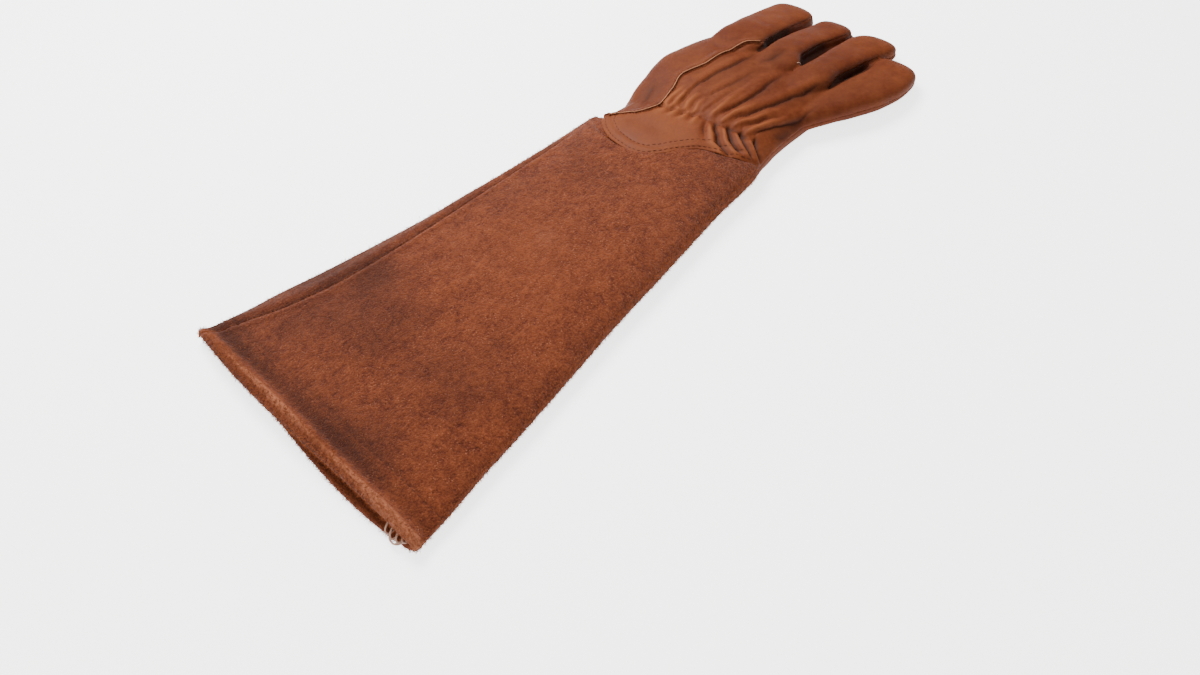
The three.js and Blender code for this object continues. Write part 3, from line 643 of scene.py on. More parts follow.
class Builder:
    """Makes the pieces' objects and puts them in the frame of the CAD nodes."""

    @staticmethod
    def grid(nu: int, nv: int) -> tuple[bmesh.types.BMesh, Array, Array]:
        """A flat grid to be bent into shape.

        Args:
            nu: faces along u
            nv: faces along v

        Returns:
            The mesh, and the whole-number u and v of each corner.
        """
        bm = bmesh.new()
        bmesh.ops.create_grid(bm, x_segments=nu, y_segments=nv, size=1)
        co = np.array([v.co for v in bm.verts])
        u = np.rint((co[:, 0] + 1) / 2 * nu).astype(int)
        v = np.rint((co[:, 1] + 1) / 2 * nv).astype(int)
        return bm, u, v

    @staticmethod
    def move(bm: bmesh.types.BMesh, points: Array) -> None:
        """Puts the mesh's corners at the points."""
        for vertex, point in zip(bm.verts, points):
            vertex.co = point

    @classmethod
    def tube(cls, nu: int, nv: int, place: Callable[[Array, Array], Array], capped: bool
             ) -> bmesh.types.BMesh:
        """A grid bent round into a tube and welded along its length.

        Args:
            nu: faces round it
            nv: faces along it
            place: gives points for u from 0 to 1 and whole-number stations v, with scuffing and
            painted light and shade as a fourth number where the material reads it
            capped: whether its ends are closed

        Returns:
            The mesh, in millimetres of the pattern.
        """
        bm, u, v = cls.grid(nu, nv)
        points = place((u % nu) / nu, v)
        cls.move(bm, points[:, :3])
        if points.shape[1] > 3:
            layer = bm.verts.layers.float.new("worn")
            for vertex, value in zip(bm.verts, points[:, 3]):
                vertex[layer] = value
        bmesh.ops.remove_doubles(bm, verts=bm.verts, dist=1e-5)
        if capped:
            rims = [edge for edge in bm.edges if edge.is_boundary]
            bmesh.ops.holes_fill(bm, edges=rims, sides=0)
        bmesh.ops.recalc_face_normals(bm, faces=bm.faces)
        return bm

    @staticmethod
    def to_object(bm: bmesh.types.BMesh, name: str) -> bpy.types.Object:
        """An object of the mesh, moved from the pattern's millimetres to the frame's metres."""
        bmesh.ops.transform(bm, matrix=Matrix.Translation(ORIGIN) @ Matrix.Scale(MM, 4), verts=bm.verts)
        mesh = bpy.data.meshes.new(name)
        bm.to_mesh(mesh)
        bm.free()
        return add_piece(name, mesh)

    @staticmethod
    def applied(piece: bpy.types.Object) -> None:
        """Applies the piece's modifiers to its mesh."""
        graph = bpy.context.evaluated_depsgraph_get()
        done = bpy.data.meshes.new_from_object(piece.evaluated_get(graph))
        old = piece.data
        piece.modifiers.clear()
        piece.data = done
        bpy.data.meshes.remove(old)

    @classmethod
    def walled(cls, piece: bpy.types.Object) -> None:
        """Gives the piece's skin the thickness of the leather, inwards."""
        wall = piece.modifiers.new("wall", "SOLIDIFY")
        wall.thickness = SIZES.leather * MM
        wall.offset = -1
        cls.applied(piece)


def corners_of(mesh: bpy.types.Mesh) -> Array:
    """The mesh's corners in millimetres of the pattern."""
    co = np.zeros(len(mesh.vertices) * 3)
    mesh.vertices.foreach_get("co", co)
    return (co.reshape(-1, 3) - ORIGIN) / MM


def normals_of(mesh: bpy.types.Mesh) -> Array:
    """The mesh's normals at its corners."""
    no = np.zeros(len(mesh.vertices) * 3)
    mesh.vertex_normals.foreach_get("vector", no)
    return no.reshape(-1, 3)


def put_corners(mesh: bpy.types.Mesh, points: Array) -> None:
    """Moves the mesh's corners to points given in millimetres of the pattern."""
    mesh.vertices.foreach_set("co", (points * MM + ORIGIN).ravel())
    mesh.update()


def paint(mesh: bpy.types.Mesh, name: str, values: Array) -> None:
    """Writes one number for each corner of the mesh, for its material."""
    layer = mesh.attributes.new(name, "FLOAT", "POINT")
    layer.data.foreach_set("value", values.astype(np.float32))


class Nodes:
    """A small helper that adds and links shader nodes."""

    def __init__(self, tree: bpy.types.NodeTree) -> None:
        """Keeps the tree that it works on."""
        self.tree = tree

    def add(self, kind: str, **settings: object) -> bpy.types.Node:
        """Adds a node.

        Args:
            kind: the node's type
            settings: properties of the node, or values of its inputs by name with _ for spaces

        Returns:
            The node.
        """
        node = self.tree.nodes.new(kind)
        for name, value in settings.items():
            if hasattr(node, name):
                setattr(node, name, value)
            else:
                node.inputs[name.replace("_", " ")].default_value = value
        return node

    def link(self, source: bpy.types.NodeSocket, target: bpy.types.NodeSocket) -> None:
        """Links an output to an input."""
        self.tree.links.new(source, target)

    def noise(self, vector: bpy.types.NodeSocket, scale: float, detail: float = 2.0) -> bpy.types.NodeSocket:
        """Noise over the vector.

        Args:
            vector: where it is read
            scale: waves for each metre
            detail: how many finer layers it has

        Returns:
            The noise's output, about 0.3 to 0.7.
        """
        node = self.add("ShaderNodeTexNoise", Scale=scale, Detail=detail)
        self.link(vector, node.inputs["Vector"])
        return node.outputs["Fac"]

    def spread(self, value: bpy.types.NodeSocket, low: float, high: float, a: float = 0.0, b: float = 1.0
               ) -> bpy.types.NodeSocket:
        """Maps low to high onto a to b, clamped."""
        node = self.add("ShaderNodeMapRange", From_Min=low, From_Max=high, To_Min=a, To_Max=b)
        self.link(value, node.inputs["Value"])
        return node.outputs["Result"]

    def mix(self, share: bpy.types.NodeSocket | float, a: object, b: object) -> bpy.types.NodeSocket:
        """A colour between a and b; each may be an output or a colour."""
        node = self.add("ShaderNodeMix", data_type="RGBA")
        for socket, value in ((node.inputs["Factor"], share), (node.inputs[6], a), (node.inputs[7], b)):
            if isinstance(value, bpy.types.NodeSocket):
                self.link(value, socket)
            else:
                socket.default_value = value
        return node.outputs[2]

    def sum(self, a: bpy.types.NodeSocket, b: bpy.types.NodeSocket, weight: float) -> bpy.types.NodeSocket:
        """a plus b times the weight."""
        node = self.add("ShaderNodeMath", operation="MULTIPLY_ADD")
        self.link(b, node.inputs[0])
        node.inputs[1].default_value = weight
        self.link(a, node.inputs[2])
        return node.outputs[0]


def new_group(name: str, colours: Sequence[str], values: Sequence[str]
              ) -> tuple[bpy.types.NodeTree, Nodes, bpy.types.Node, bpy.types.Node]:
    """A shared shader group with named sockets.

    Args:
        name: the group's name
        colours: names of its inputs, all colours
        values: names of the values that it puts out besides Color

    Returns:
        The group, its helper, and its input and output nodes.
    """
    group = bpy.data.node_groups.new(name, "ShaderNodeTree")
    for label in colours:
        group.interface.new_socket(label, in_out="INPUT", socket_type="NodeSocketColor")
    group.interface.new_socket("Color", in_out="OUTPUT", socket_type="NodeSocketColor")
    for label in values:
        group.interface.new_socket(label, in_out="OUTPUT", socket_type="NodeSocketFloat")
    nodes = Nodes(group)
    return group, nodes, nodes.add("NodeGroupInput"), nodes.add("NodeGroupOutput")


def suede_group() -> bpy.types.NodeTree:
    """Colour and nap of rough suede: faint clouds, patches of lighter and darker nap, coarse grain, specks,
    scuffed edges, and painted light and shade.
    """
    group, n, into, out = new_group("suede_nap", ("Dark", "Light", "Speck", "Soil"), ("Height",))
    place = n.add("ShaderNodeTexCoord").outputs["Object"]
    worn = n.add("ShaderNodeAttribute", attribute_name="worn").outputs["Fac"]
    patches = n.noise(place, 75, 4)
    mottle = n.noise(place, 290, 3)
    grain = n.noise(place, 850, 3)
    shade = n.sum(n.sum(n.sum(grain, patches, 0.55), mottle, 0.7), n.noise(place, 2100, 2), 0.6)
    base = n.mix(n.spread(shade, 1.12, 1.74), into.outputs["Dark"], into.outputs["Light"])
    specks = n.add("ShaderNodeTexVoronoi", Scale=720.0)
    n.link(place, specks.inputs["Vector"])
    near = n.spread(specks.outputs["Distance"], 0.12, 0.3, 0.6, 0.0)
    few = n.add("ShaderNodeMath", operation="MULTIPLY")
    n.link(near, few.inputs[0])
    n.link(n.spread(n.noise(place, 210, 1), 0.5, 0.62), few.inputs[1])
    flecked = n.mix(few.outputs[0], base, into.outputs["Speck"])
    # The painted attribute carries light and shade besides scuffing: above 0 paler, as scuffing and painted
    # highlight; below 0 darker, as painted shade and darker mottling
    brushed_and_lit = n.mix(n.spread(worn, 0.0, 1.0, 0.0, 0.6), flecked, into.outputs["Light"])
    rubbed_and_highlit = n.mix(n.spread(worn, 0.45, 1.0, 0.0, 0.62), brushed_and_lit, into.outputs["Speck"])
    n.link(n.mix(n.spread(worn, 0.0, -1.0, 0.0, 0.8), rubbed_and_highlit, into.outputs["Soil"]), out.inputs["Color"])
    fine = n.noise(place, 1500, 4)
    n.link(n.sum(n.sum(n.sum(fine, grain, 1.2), mottle, 1.4), patches, 1.2), out.inputs["Height"])
    return group


def leather_group() -> bpy.types.NodeTree:
    """Colour, gloss and grain of smooth leather: soft mottling, ribs painted lighter and creases in painted
    shade.
    """
    group, n, into, out = new_group("smooth_leather", ("Base", "Rubbed", "Crease"), ("Roughness", "Height"))
    place = n.add("ShaderNodeTexCoord").outputs["Object"]
    fold = n.add("ShaderNodeAttribute", attribute_name="fold").outputs["Fac"]
    clouds = n.noise(place, 30, 3)
    streaks = n.noise(place, 130, 3)
    fine = n.noise(place, 420, 4)
    shade = n.sum(n.sum(clouds, streaks, 0.6), fine, 0.5)
    tone = n.mix(n.spread(shade, 0.82, 1.28, 0.04, 0.36), into.outputs["Base"], into.outputs["Rubbed"])
    # Painted light and shade from the fold attribute: ribs and lit parts of the hand paler, as rubbing and
    # painted highlight; creases, the gaps between the fingers and the shaded knuckles darker, as painted
    # shade
    lit = n.mix(n.spread(fold, 0.2, 1.0, 0.0, 0.8), tone, into.outputs["Rubbed"])
    n.link(n.mix(n.spread(fold, -0.2, -1.0, 0.0, 0.85), lit, into.outputs["Crease"]), out.inputs["Color"])
    n.link(n.spread(shade, 0.8, 1.3, 0.54, 0.7), out.inputs["Roughness"])
    pebbles = n.add("ShaderNodeTexVoronoi", Scale=900.0, feature="SMOOTH_F1")
    n.link(place, pebbles.inputs["Vector"])
    n.link(n.sum(n.sum(fine, pebbles.outputs["Distance"], 0.5), streaks, 1.4), out.inputs["Height"])
    return group


@dataclass(frozen=True)
class Finish:
    """A material made from a shared group and a few uniform values."""

    name: str
    group: str
    colours: tuple[tuple[str, tuple[float, float, float]], ...]
    roughness: float = 0.9
    bump: float = 0.3
    bump_mm: float = 0.25
    sheen: float = 0.0
    specular: float = 0.5

    def make(self) -> bpy.types.Material:
        """The material."""
        material = bpy.data.materials.new(self.name)
        material.use_nodes = True
        n = Nodes(material.node_tree)
        shader = material.node_tree.nodes["Principled BSDF"]
        shader.inputs["Roughness"].default_value = self.roughness
        shader.inputs["Sheen Weight"].default_value = self.sheen
        shader.inputs["Sheen Roughness"].default_value = 0.5
        shader.inputs["Specular IOR Level"].default_value = self.specular
        if not self.group:
            shader.inputs["Base Color"].default_value = (*self.colours[0][1], 1)
            return material
        group = n.add("ShaderNodeGroup", node_tree=bpy.data.node_groups[self.group])
        for label, colour in self.colours:
            group.inputs[label].default_value = (*colour, 1)
        n.link(group.outputs["Color"], shader.inputs["Base Color"])
        if "Roughness" in group.outputs:
            n.link(group.outputs["Roughness"], shader.inputs["Roughness"])
        relief = n.add("ShaderNodeBump", Strength=self.bump, Distance=self.bump_mm * MM)
        n.link(group.outputs["Height"], relief.inputs["Height"])
        n.link(relief.outputs["Normal"], shader.inputs["Normal"])
        return material


# The darkest colour is painted shade, besides darker mottling
SUEDE = Finish(
    "suede", "suede_nap",
    (("Dark", (0.068, 0.0115, 0.0042)), ("Light", (0.215, 0.052, 0.0165)), ("Speck", (0.42, 0.15, 0.075)),
     ("Soil", (0.03, 0.0065, 0.003))),
    roughness=0.95, bump=0.85, bump_mm=0.6, sheen=0.12, specular=0.12,
)
# The paler colour serves mottling, rubbing and painted highlights; the darkest colour is painted shade
LEATHER = Finish(
    "smooth_leather", "smooth_leather",
    (("Base", (0.094, 0.0168, 0.004)), ("Rubbed", (0.265, 0.076, 0.0245)),
     ("Crease", (0.02, 0.0042, 0.0018))),
    bump=0.35, bump_mm=0.22, specular=0.11,
)
FIBRE = Finish("suede_fibre", "", (("Color", (0.27, 0.078, 0.03)),), roughness=0.9, specular=0.1)
THREAD = Finish("brown_thread", "", (("Color", (0.06, 0.014, 0.006)),), roughness=0.8, specular=0.2)
RAW_EDGE = Finish("raw_edge", "", (("Color", (0.4, 0.17, 0.09)),), roughness=0.8, specular=0.2)
PALE_THREAD = Finish("pale_thread", "", (("Color", (0.5, 0.3, 0.22)),), roughness=0.7, specular=0.2)


@dataclass
class Cuff:
    """The suede sleeve: side seam, puffed lip, turned-in hem and the tongue under the leather."""

    around: int = 320
    groove_depth: float = 3.0
    groove_width: float = 1.9
    groove_middle: float = 0.4
    strip_drop: float = 1.2
    strip_side: float = 3.0
    strip_bulge: tuple[float, float, float] = (0.9, 7.0, 4.0)
    bank: tuple[float, float, float] = (0.8, -4.0, 3.2)
    # Lighter along the raised bank beside the seam's groove
    bank_paler: tuple[float, float, float] = (0.35, -3.0, 2.2)
    seam_rises: tuple[float, float] = (-2.0, 8.0)
    seam_fades: tuple[float, float] = (215.0, 262.0)
    # A broad paler patch on top, painted light
    lit_patch_at: tuple[float, float] = (165.0, -8.0)
    pale: tuple[float, float, float] = (0.3, 0.0, 60.0)
    lip_puff: float = 1.8
    lip_middle: float = 3.2
    lip_width: float = 2.9
    hem_dip: float = 1.6
    hem_dip_at: float = 9.5
    hem_dip_width: float = 4.2
    stitch_dip: float = 0.7
    under_leather: float = 1.9
    tongue: float = 9.0
    wrist_start: float = 240.0
    wrist_end: float = 306.0
    waves: Triples = ((0.9, 80, 3.1), (0.45, 30, 8.4))
    clouds: Triples = ((0.48, 62, 21.0), (0.32, 27, 14.0))
    nap: Triples = ((0.16, 5, 1.7),)
    edge_nap: Triples = ((0.3, 13, 6.2),)

    def stations(self) -> Array:
        """Rows of the wall's section along the sleeve.

        Returns:
            For each station: x, inset, and 1 where it is on the outside.
        """
        s = SIZES
        lip = s.hem_wall / 2
        far = np.linspace(self.wrist_end, self.wrist_start, 90)
        near = np.linspace(self.wrist_start - 1, lip, 150)
        outside = [(x, 0.0, 1.0) for x in (*far, *near)]
        angles = np.linspace(0.2, math.pi - 0.2, 9)
        turn = [(lip * (1 - math.sin(a)), lip * (1 - math.cos(a)), 0.5) for a in angles]
        inside = [(x, s.hem_wall, 0.0) for x in np.linspace(lip, s.hem_width - 1, 7)]
        step = [(s.hem_width, s.hem_wall - 0.3, 0.0), (s.hem_width + 0.2, s.suede + 0.4, 0.0)]
        inner = [(x, s.suede, 0.0) for x in np.linspace(s.hem_width + 1.5, self.wrist_end, 44)]
        return np.array([*outside, *turn, *inside, *step, *inner])

    def relief(self, x: Array, y: Array, flat: Array) -> tuple[Array, Array]:
        """Height of the seam, the hem and the soft dents over the upper layer.

        Args:
            x: x of the points
            y: y of the points
            flat: 1 over the flat of the upper layer, falling to 0 at its sides

        Returns:
            The height in millimetres, and the painted scuffing, light and shade: 1 where pale, -1 where dark.
        """
        s = SIZES
        groove_y = FORM.rows.read("left", x) - FORM.rows.read("seam", x)
        past = y - groove_y
        fades = smoothstep(x, *self.seam_rises) * (1 - smoothstep(x, *self.seam_fades))
        in_groove = bump(past - self.groove_middle, self.groove_width)
        groove = -self.groove_depth * in_groove * lerp(1, 0.5, past > self.groove_middle)
        on_strip = smoothstep(past, 0, self.strip_side)
        strip = -self.strip_drop * on_strip + bell(past, self.strip_bulge)
        raised = bell(past, self.bank)
        lip_at = bump(x - self.lip_middle, self.lip_width)
        dip_at = bump(x - self.hem_dip_at, self.hem_dip_width)
        lip = self.lip_puff * lip_at - self.hem_dip * dip_at
        stitch_at = bump(x - s.hem_width - 0.5, 1.3)
        points = np.stack([x, y, 0 * x], axis=-1)
        waves = layered_noise(points, self.waves)
        nap = layered_noise(points, self.nap) + layered_noise(points, self.edge_nap) * (lip_at + dip_at)
        height = (groove + strip + raised) * fades + lip - self.stitch_dip * stitch_at + waves + nap
        # Painted shade over the left side and towards the mouth, and a painted pool of light on top; the
        # noise clouds are the suede's own mottling
        left_side = smoothstep(y / s.mouth_width, 0.05, 0.42) * (1 - smoothstep(x, 150, 270))
        clouds = layered_noise(points, self.clouds) - 0.36 * left_side * (past < 0)
        clouds += bell(np.hypot(x - self.lit_patch_at[0], y - self.lit_patch_at[1]), self.pale)
        clouds -= 0.42 * (1 - smoothstep(x, 75, 150)) * smoothstep(y, -85, -40)
        # The lip paler, as scuffing and a painted highlight on its roll; painted shade in the dip behind it;
        # darker along the stitch line; painted shade in the seam's groove and on the strip beyond it; lighter
        # along the raised bank
        wear_and_painted_light = clouds + 0.95 * lip_at - 0.42 * dip_at - 0.3 * stitch_at
        wear_and_painted_light -= (0.95 * in_groove + 0.26 * on_strip - bell(past, self.bank_paler)) * fades
        return height * flat, wear_and_painted_light

    def make(self) -> bpy.types.Object:
        """The sleeve as one closed wall."""
        rows = self.stations()

        def place(u: Array, v: Array) -> Array:
            """Points on the wall, with the painted scuffing, light and shade at each."""
            x, inset, outer = rows[v % len(rows)].T
            rough = FORM.ring(x, u, 0.0)
            end = np.minimum(FORM.lap_x(rough[:, 1]) + self.tongue, FORM.end)
            past = (x - self.wrist_start) / (self.wrist_end - self.wrist_start)
            x = np.where(past > 0, lerp(self.wrist_start, end, past), x)
            over_lap = x - FORM.lap_x(rough[:, 1])
            tucked = self.under_leather * smoothstep(over_lap, -0.5, 1.0)
            points = FORM.ring(x, u, inset + tucked)
            on_top = (u > 0) & (u < FORM.TOP_END)
            share = np.clip(u / FORM.TOP_END, 0, 1)
            flat = np.where(on_top, smoothstep(np.minimum(share, 1 - share), 0.0, 0.07), 0)
            height, wear_and_painted_light = self.relief(points[:, 0], points[:, 1], flat)
            points[:, 2] += height * np.where(outer > 0, 1, 0.6) * (1 - 0.6 * smoothstep(over_lap, -20, 0))
            # Paler rim at the mouth, scuffing and a painted highlight on its roll; paler folds at the sides;
            # the inside of the mouth painted darker as shade
            at_side = 1 - smoothstep(np.minimum(u, FORM.TOP_END - u), 0, 0.012)
            edge = np.maximum(bump(points[:, 0] - 1.5, 3.0), 0.5 * at_side)
            wear_and_painted_light = np.where(on_top, wear_and_painted_light, 0.5 * bump(points[:, 0] - self.lip_middle, 4.0))
            wear_and_painted_light = wear_and_painted_light * (outer > 0) + 0.7 * edge - 0.55 * (outer <= 0) * smoothstep(points[:, 0], 4, 16)
            return np.column_stack([points, np.clip(wear_and_painted_light, -1, 1)])

        return Builder.to_object(Builder.tube(self.around, len(rows), place, capped=False), "suede_cuff")


class Seams:
    """Fields over the hand's skin: positive on one side of each seam, about in millimetres."""

    @staticmethod
    def lap(p: Array) -> Array:
        """Positive on the fingers' side of the leather's edge."""
        return p[:, 0] - FORM.lap_x(p[:, 1])

    @staticmethod
    def wrap(p: Array) -> Array:
        """Positive on the thumb side of the raised seam on the back of the hand."""
        table = Table(WRAP_COLUMNS, WRAP_ROWS)
        return p[:, 1] - table.read("y", p[:, 0])

    @classmethod
    def palm(cls, p: Array) -> Array:
        """Positive on the palm panel."""
        x, y, z = p.T
        knots = [(-400.0, 0.45 * FINGERS[-1].table.read("height", x))]
        for i in range(len(FINGERS) - 1, -1, -1):
            table = FINGERS[i].table
            knots.append((table.read("axis", x), table.read("height", x)))
            if i > 0:
                both = (table.read("height", x) + FINGERS[i - 1].table.read("height", x)) / 2
                knots.append((gap_y(i - 1, x), both))
        knots.append((400.0, FINGERS[0].table.read("height", x)))
        sheet = np.array(knots[0][1])
        for (y0, z0), (y1, z1) in zip(knots[:-1], knots[1:]):
            t = (y - y0) / (y1 - y0)
            sheet = np.where((t >= 0) & (t <= 1), lerp(z0, z1, t), sheet)
        return np.maximum(sheet - z, cls.wrap(p))

    @staticmethod
    def fourchette(i: int) -> Callable[[Array], Array]:
        """The field of the strip between finger i and the next one, positive on it."""
        s = SIZES

        def field(p: Array) -> Array:
            """Positive within the strip's height, reach and length."""
            x, y, z = p.T
            here, after = FINGERS[i], FINGERS[i + 1]
            away = y - gap_y(i, x)
            t = np.clip(away / (2 * s.fourchette_reach) + 0.5, 0, 1)
            height = lerp(after.table.read("height", x), here.table.read("height", x), t)
            end = s.crotch_x + min(here.reach, after.reach) * s.finger_length - 0.5 * s.fingertip_round
            return np.minimum.reduce([
                s.fourchette_height / 2 - np.abs(z - height),
                s.fourchette_reach - np.abs(away),
                x - (s.crotch_x - s.crotch_depth),
                end - x,
            ])

        return field


@dataclass
class Hand:
    """The leather hand: one skin over hand and fingers, folded, then cut along its seams."""

    voxel: float = 0.96
    seam_dip: float = 0.5
    seam_width: float = 0.9
    wrap_lip: float = 1.3
    lap_sink: float = 0.4
    elastic_dip: float = 1.2
    elastic_half: float = 4.5
    elastic_share: float = 0.12
    elastic_back: float = 4.0
    elastic_slope: float = 0.2
    wrap_groove: tuple[float, float, float] = (0.8, -1.1, 1.2)
    lap_welt: tuple[float, float, float] = (0.18, 5.2, 1.9)
    stitch_dip: float = 0.4
    stitch_width: float = 0.8
    # How far past the crotch the painted shade deep in the gaps between the fingers fades out
    shade_start: float = 28.0
    shade_end: float = 50.0
    # Span of x over which the painted light by the lap turns to painted shade over the knuckles
    shade_ramp_start: float = 296.0
    shade_ramp_end: float = 345.0
    wander_x: Triples = ((1.3, 13, 4.4), (0.5, 5, 9.1))
    wander_y: Triples = ((1.3, 13, 12.7), (0.5, 5, 15.3))
    waves: Triples = ((0.5, 24, 5.2), (0.2, 9, 2.6))

    def skin(self) -> bpy.types.Object:
        """Hand and fingers joined into one smooth closed skin."""
        s = SIZES
        whole = bmesh.new()
        solids = []
        xs = np.linspace(s.cuff_length - s.lap_drop - 10, FORM.end, 100)
        drop = 2.5 * smoothstep(xs, FORM.end - 4, FORM.end)
        solids.append(Builder.tube(200, len(xs) - 1, lambda u, v: FORM.ring(xs[v], u, drop[v]), capped=True))
        for finger in FINGERS:
            tip = s.crotch_x + finger.reach * s.finger_length
            start = s.crotch_x - 0.5 * s.finger_length
            straight = np.linspace(start, tip - s.fingertip_round, 60)
            rounded = tip - s.fingertip_round * (1 - np.sin(np.linspace(0.03, 0.497, 30) * math.pi))
            along = np.concatenate([straight, rounded])
            solids.append(Builder.tube(
                72, len(along) - 1, lambda u, v, f=finger, a=along: f.ring(a[v], u), capped=True))
        for solid in solids:
            mesh = bpy.data.meshes.new("part")
            solid.to_mesh(mesh)
            solid.free()
            whole.from_mesh(mesh)
            bpy.data.meshes.remove(mesh)
        piece = Builder.to_object(whole, "hand_skin")
        remesh = piece.modifiers.new("remesh", "REMESH")
        remesh.mode = "VOXEL"
        remesh.voxel_size = self.voxel * MM
        smooth = piece.modifiers.new("smooth", "SMOOTH")
        smooth.factor = 0.5
        smooth.iterations = 8
        Builder.applied(piece)
        return piece

    def relief(self, points: Array, normals: Array) -> tuple[Array, Array]:
        """How far each corner moves along its normal.

        Args:
            points: the skin's corners
            normals: its normals there

        Returns:
            The moves in millimetres, and how much of each move is a rib or a crease.
        """
        s = SIZES
        x, y = points[:, 0], points[:, 1]
        up = smoothstep(normals[:, 2], 0.1, 0.55)
        flat = points * (1, 1, 0)
        near_x, near_y = x + layered_noise(flat, self.wander_x), y + layered_noise(flat, self.wander_y)
        folds = sum(fold.relief(near_x, near_y) for fold in FOLDS) * up
        elastic_x = s.cuff_length + self.elastic_share * s.hand_length - self.elastic_back
        elastic = x - elastic_x + self.elastic_slope * y
        dip = -self.elastic_dip * bump(elastic, 1.4 * self.elastic_half) * up
        waves = layered_noise(points, self.waves)
        wrinkles = 0.3 * soft_noise(points * (0.4, 1.0, 1.0), 3.2, 7.7) * bump(elastic, 14)
        seams = np.zeros(len(points))
        wrap = Seams.wrap(points)
        on_wrap = up * smoothstep(x, 262, 276) * (1 - smoothstep(x, s.crotch_x - 2, s.crotch_x + 6))
        seams += self.wrap_lip * smoothstep(wrap, -0.5, 0.4) * (1 - smoothstep(wrap, 1.0, 7.0)) * on_wrap
        seams -= bell(wrap, self.wrap_groove) * on_wrap
        for i in range(len(FINGERS) - 1):
            seams -= self.seam_dip * bump(Seams.fourchette(i)(points), self.seam_width)
        palm = Seams.palm(points)
        between = (y < FINGERS[0].table.read("axis", x)) & (y > FINGERS[-1].table.read("axis", x))
        seams -= self.seam_dip * bump(palm, self.seam_width) * (1 - on_wrap) * lerp(0.4, 1, between)
        lap = Seams.lap(points)
        lifted = -self.lap_sink * (1 - smoothstep(lap, 0, 3))
        stitched = sum(bump(lap - offset, self.stitch_width) for offset in LAP_STITCHES)
        rows = bell(lap, self.lap_welt) - self.stitch_dip * stitched
        return folds + dip + waves + wrinkles + seams + lifted + rows * up, folds

    @staticmethod
    def cut(bm: bmesh.types.BMesh, field: Callable[[Array], Array]) -> None:
        """Moves corners onto the line where the field is 0, so that faces lie on one side of it.

        Args:
            bm: the skin, in millimetres of the pattern
            field: positive on one side
        """
        for _ in range(2):
            bm.verts.ensure_lookup_table()
            bm.verts.index_update()
            value = field(np.array([v.co for v in bm.verts]))
            value[np.abs(value) < 1e-3] = 0
            mixed = [face for face in bm.faces
                     if len(face.verts) > 3 and len({value[v.index] > 0 for v in face.verts}) == 2]
            bmesh.ops.triangulate(bm, faces=mixed)
            moves: dict[int, tuple[float, Vector]] = {}
            for edge in bm.edges:
                a, b = edge.verts
                va, vb = value[a.index], value[b.index]
                if va * vb >= 0:
                    continue
                t = va / (va - vb)
                near = a if t < 0.5 else b
                far = max(t, 1 - t)
                if near.index not in moves or far > moves[near.index][0]:
                    moves[near.index] = (far, a.co.lerp(b.co, t))
            for index, (_, place) in moves.items():
                bm.verts[index].co = place

    @staticmethod
    def panel(skin: bmesh.types.BMesh, keep: Sequence[tuple[Callable[[Array], Array], float]], name: str
              ) -> bpy.types.Object:
        """A copy of the part of the skin where every field has the sign asked for.

        Args:
            skin: the skin, cut along its seams
            keep: fields and the sign that each must have
            name: the new object's name

        Returns:
            The panel.
        """
        part = skin.copy()
        middles = np.array([f.calc_center_median() for f in part.faces])
        inside = np.all([field(middles) * sign > 0 for field, sign in keep], axis=0)
        away = [f for f, kept in zip(part.faces, inside) if not kept]
        bmesh.ops.delete(part, geom=away, context="FACES")
        return Builder.to_object(part, name)

    def make(self) -> dict[str, bpy.types.Object]:
        """The leather panels by the CAD node that each one stands for."""
        s = SIZES
        skin = self.skin()
        mesh = skin.data
        points, normals = corners_of(mesh), normals_of(mesh)
        move, fold = self.relief(points, normals)
        points = points + normals * move[:, None]
        points[:, 2] = np.maximum(points[:, 2], 0.05)
        put_corners(mesh, points)
        # Paint light and shade into the fold attribute: ribs lighter and creases darker, painted shade deep
        # in the gaps between the fingers, and a painted gradient for light across the hand, lighter by the
        # lap, on the thumb side and on the fingers, darker over the knuckles and on the wrapped panel by the
        # wrist
        deep = 1 - smoothstep(points[:, 0], s.crotch_x + self.shade_start, s.crotch_x + self.shade_end)
        strips = [Seams.fourchette(i) for i in range(len(FINGERS) - 1)]
        inside = np.max([smoothstep(strip(points), -0.6, 0.4) for strip in strips], axis=0)
        past_wrist = smoothstep(points[:, 0], self.shade_ramp_start, self.shade_ramp_end)
        by_lap = lerp(0.1, 0.42, smoothstep(points[:, 1], -32, -6))
        on_fingers = smoothstep(points[:, 0], s.crotch_x + 5, s.crotch_x + 50)
        tone = lerp(by_lap, -0.36, past_wrist) + 0.16 * on_fingers
        tone = np.where(Seams.wrap(points) < 0, tone, 0.36 * on_fingers - 0.3)
        paint(mesh, "fold", np.clip(fold / 1.6 + tone - 1.1 * deep * inside - 0.25 * inside, -1, 1))
        bm = bmesh.new()
        bm.from_mesh(mesh)
        bpy.data.objects.remove(skin)
        bmesh.ops.transform(
            bm, matrix=(Matrix.Translation(ORIGIN) @ Matrix.Scale(MM, 4)).inverted(), verts=bm.verts)
        for field in (Seams.lap, Seams.palm, *strips):
            self.cut(bm, field)
        off_strips = [(field, -1.0) for field in strips]
        panels = {
            "hand_back": self.panel(bm, [(Seams.lap, 1), (Seams.palm, -1), *off_strips], "leather_back"),
            "palm": self.panel(bm, [(Seams.lap, 1), (Seams.palm, 1), *off_strips], "leather_palm"),
        }
        for i, field in enumerate(strips):
            node = f"fourchette_{FINGERS[i].name}_{FINGERS[i + 1].name}"
            panels[node] = self.panel(bm, [(field, 1)], f"leather_{node}")
        bm.free()
        for piece in panels.values():
            Builder.walled(piece)
        return panels


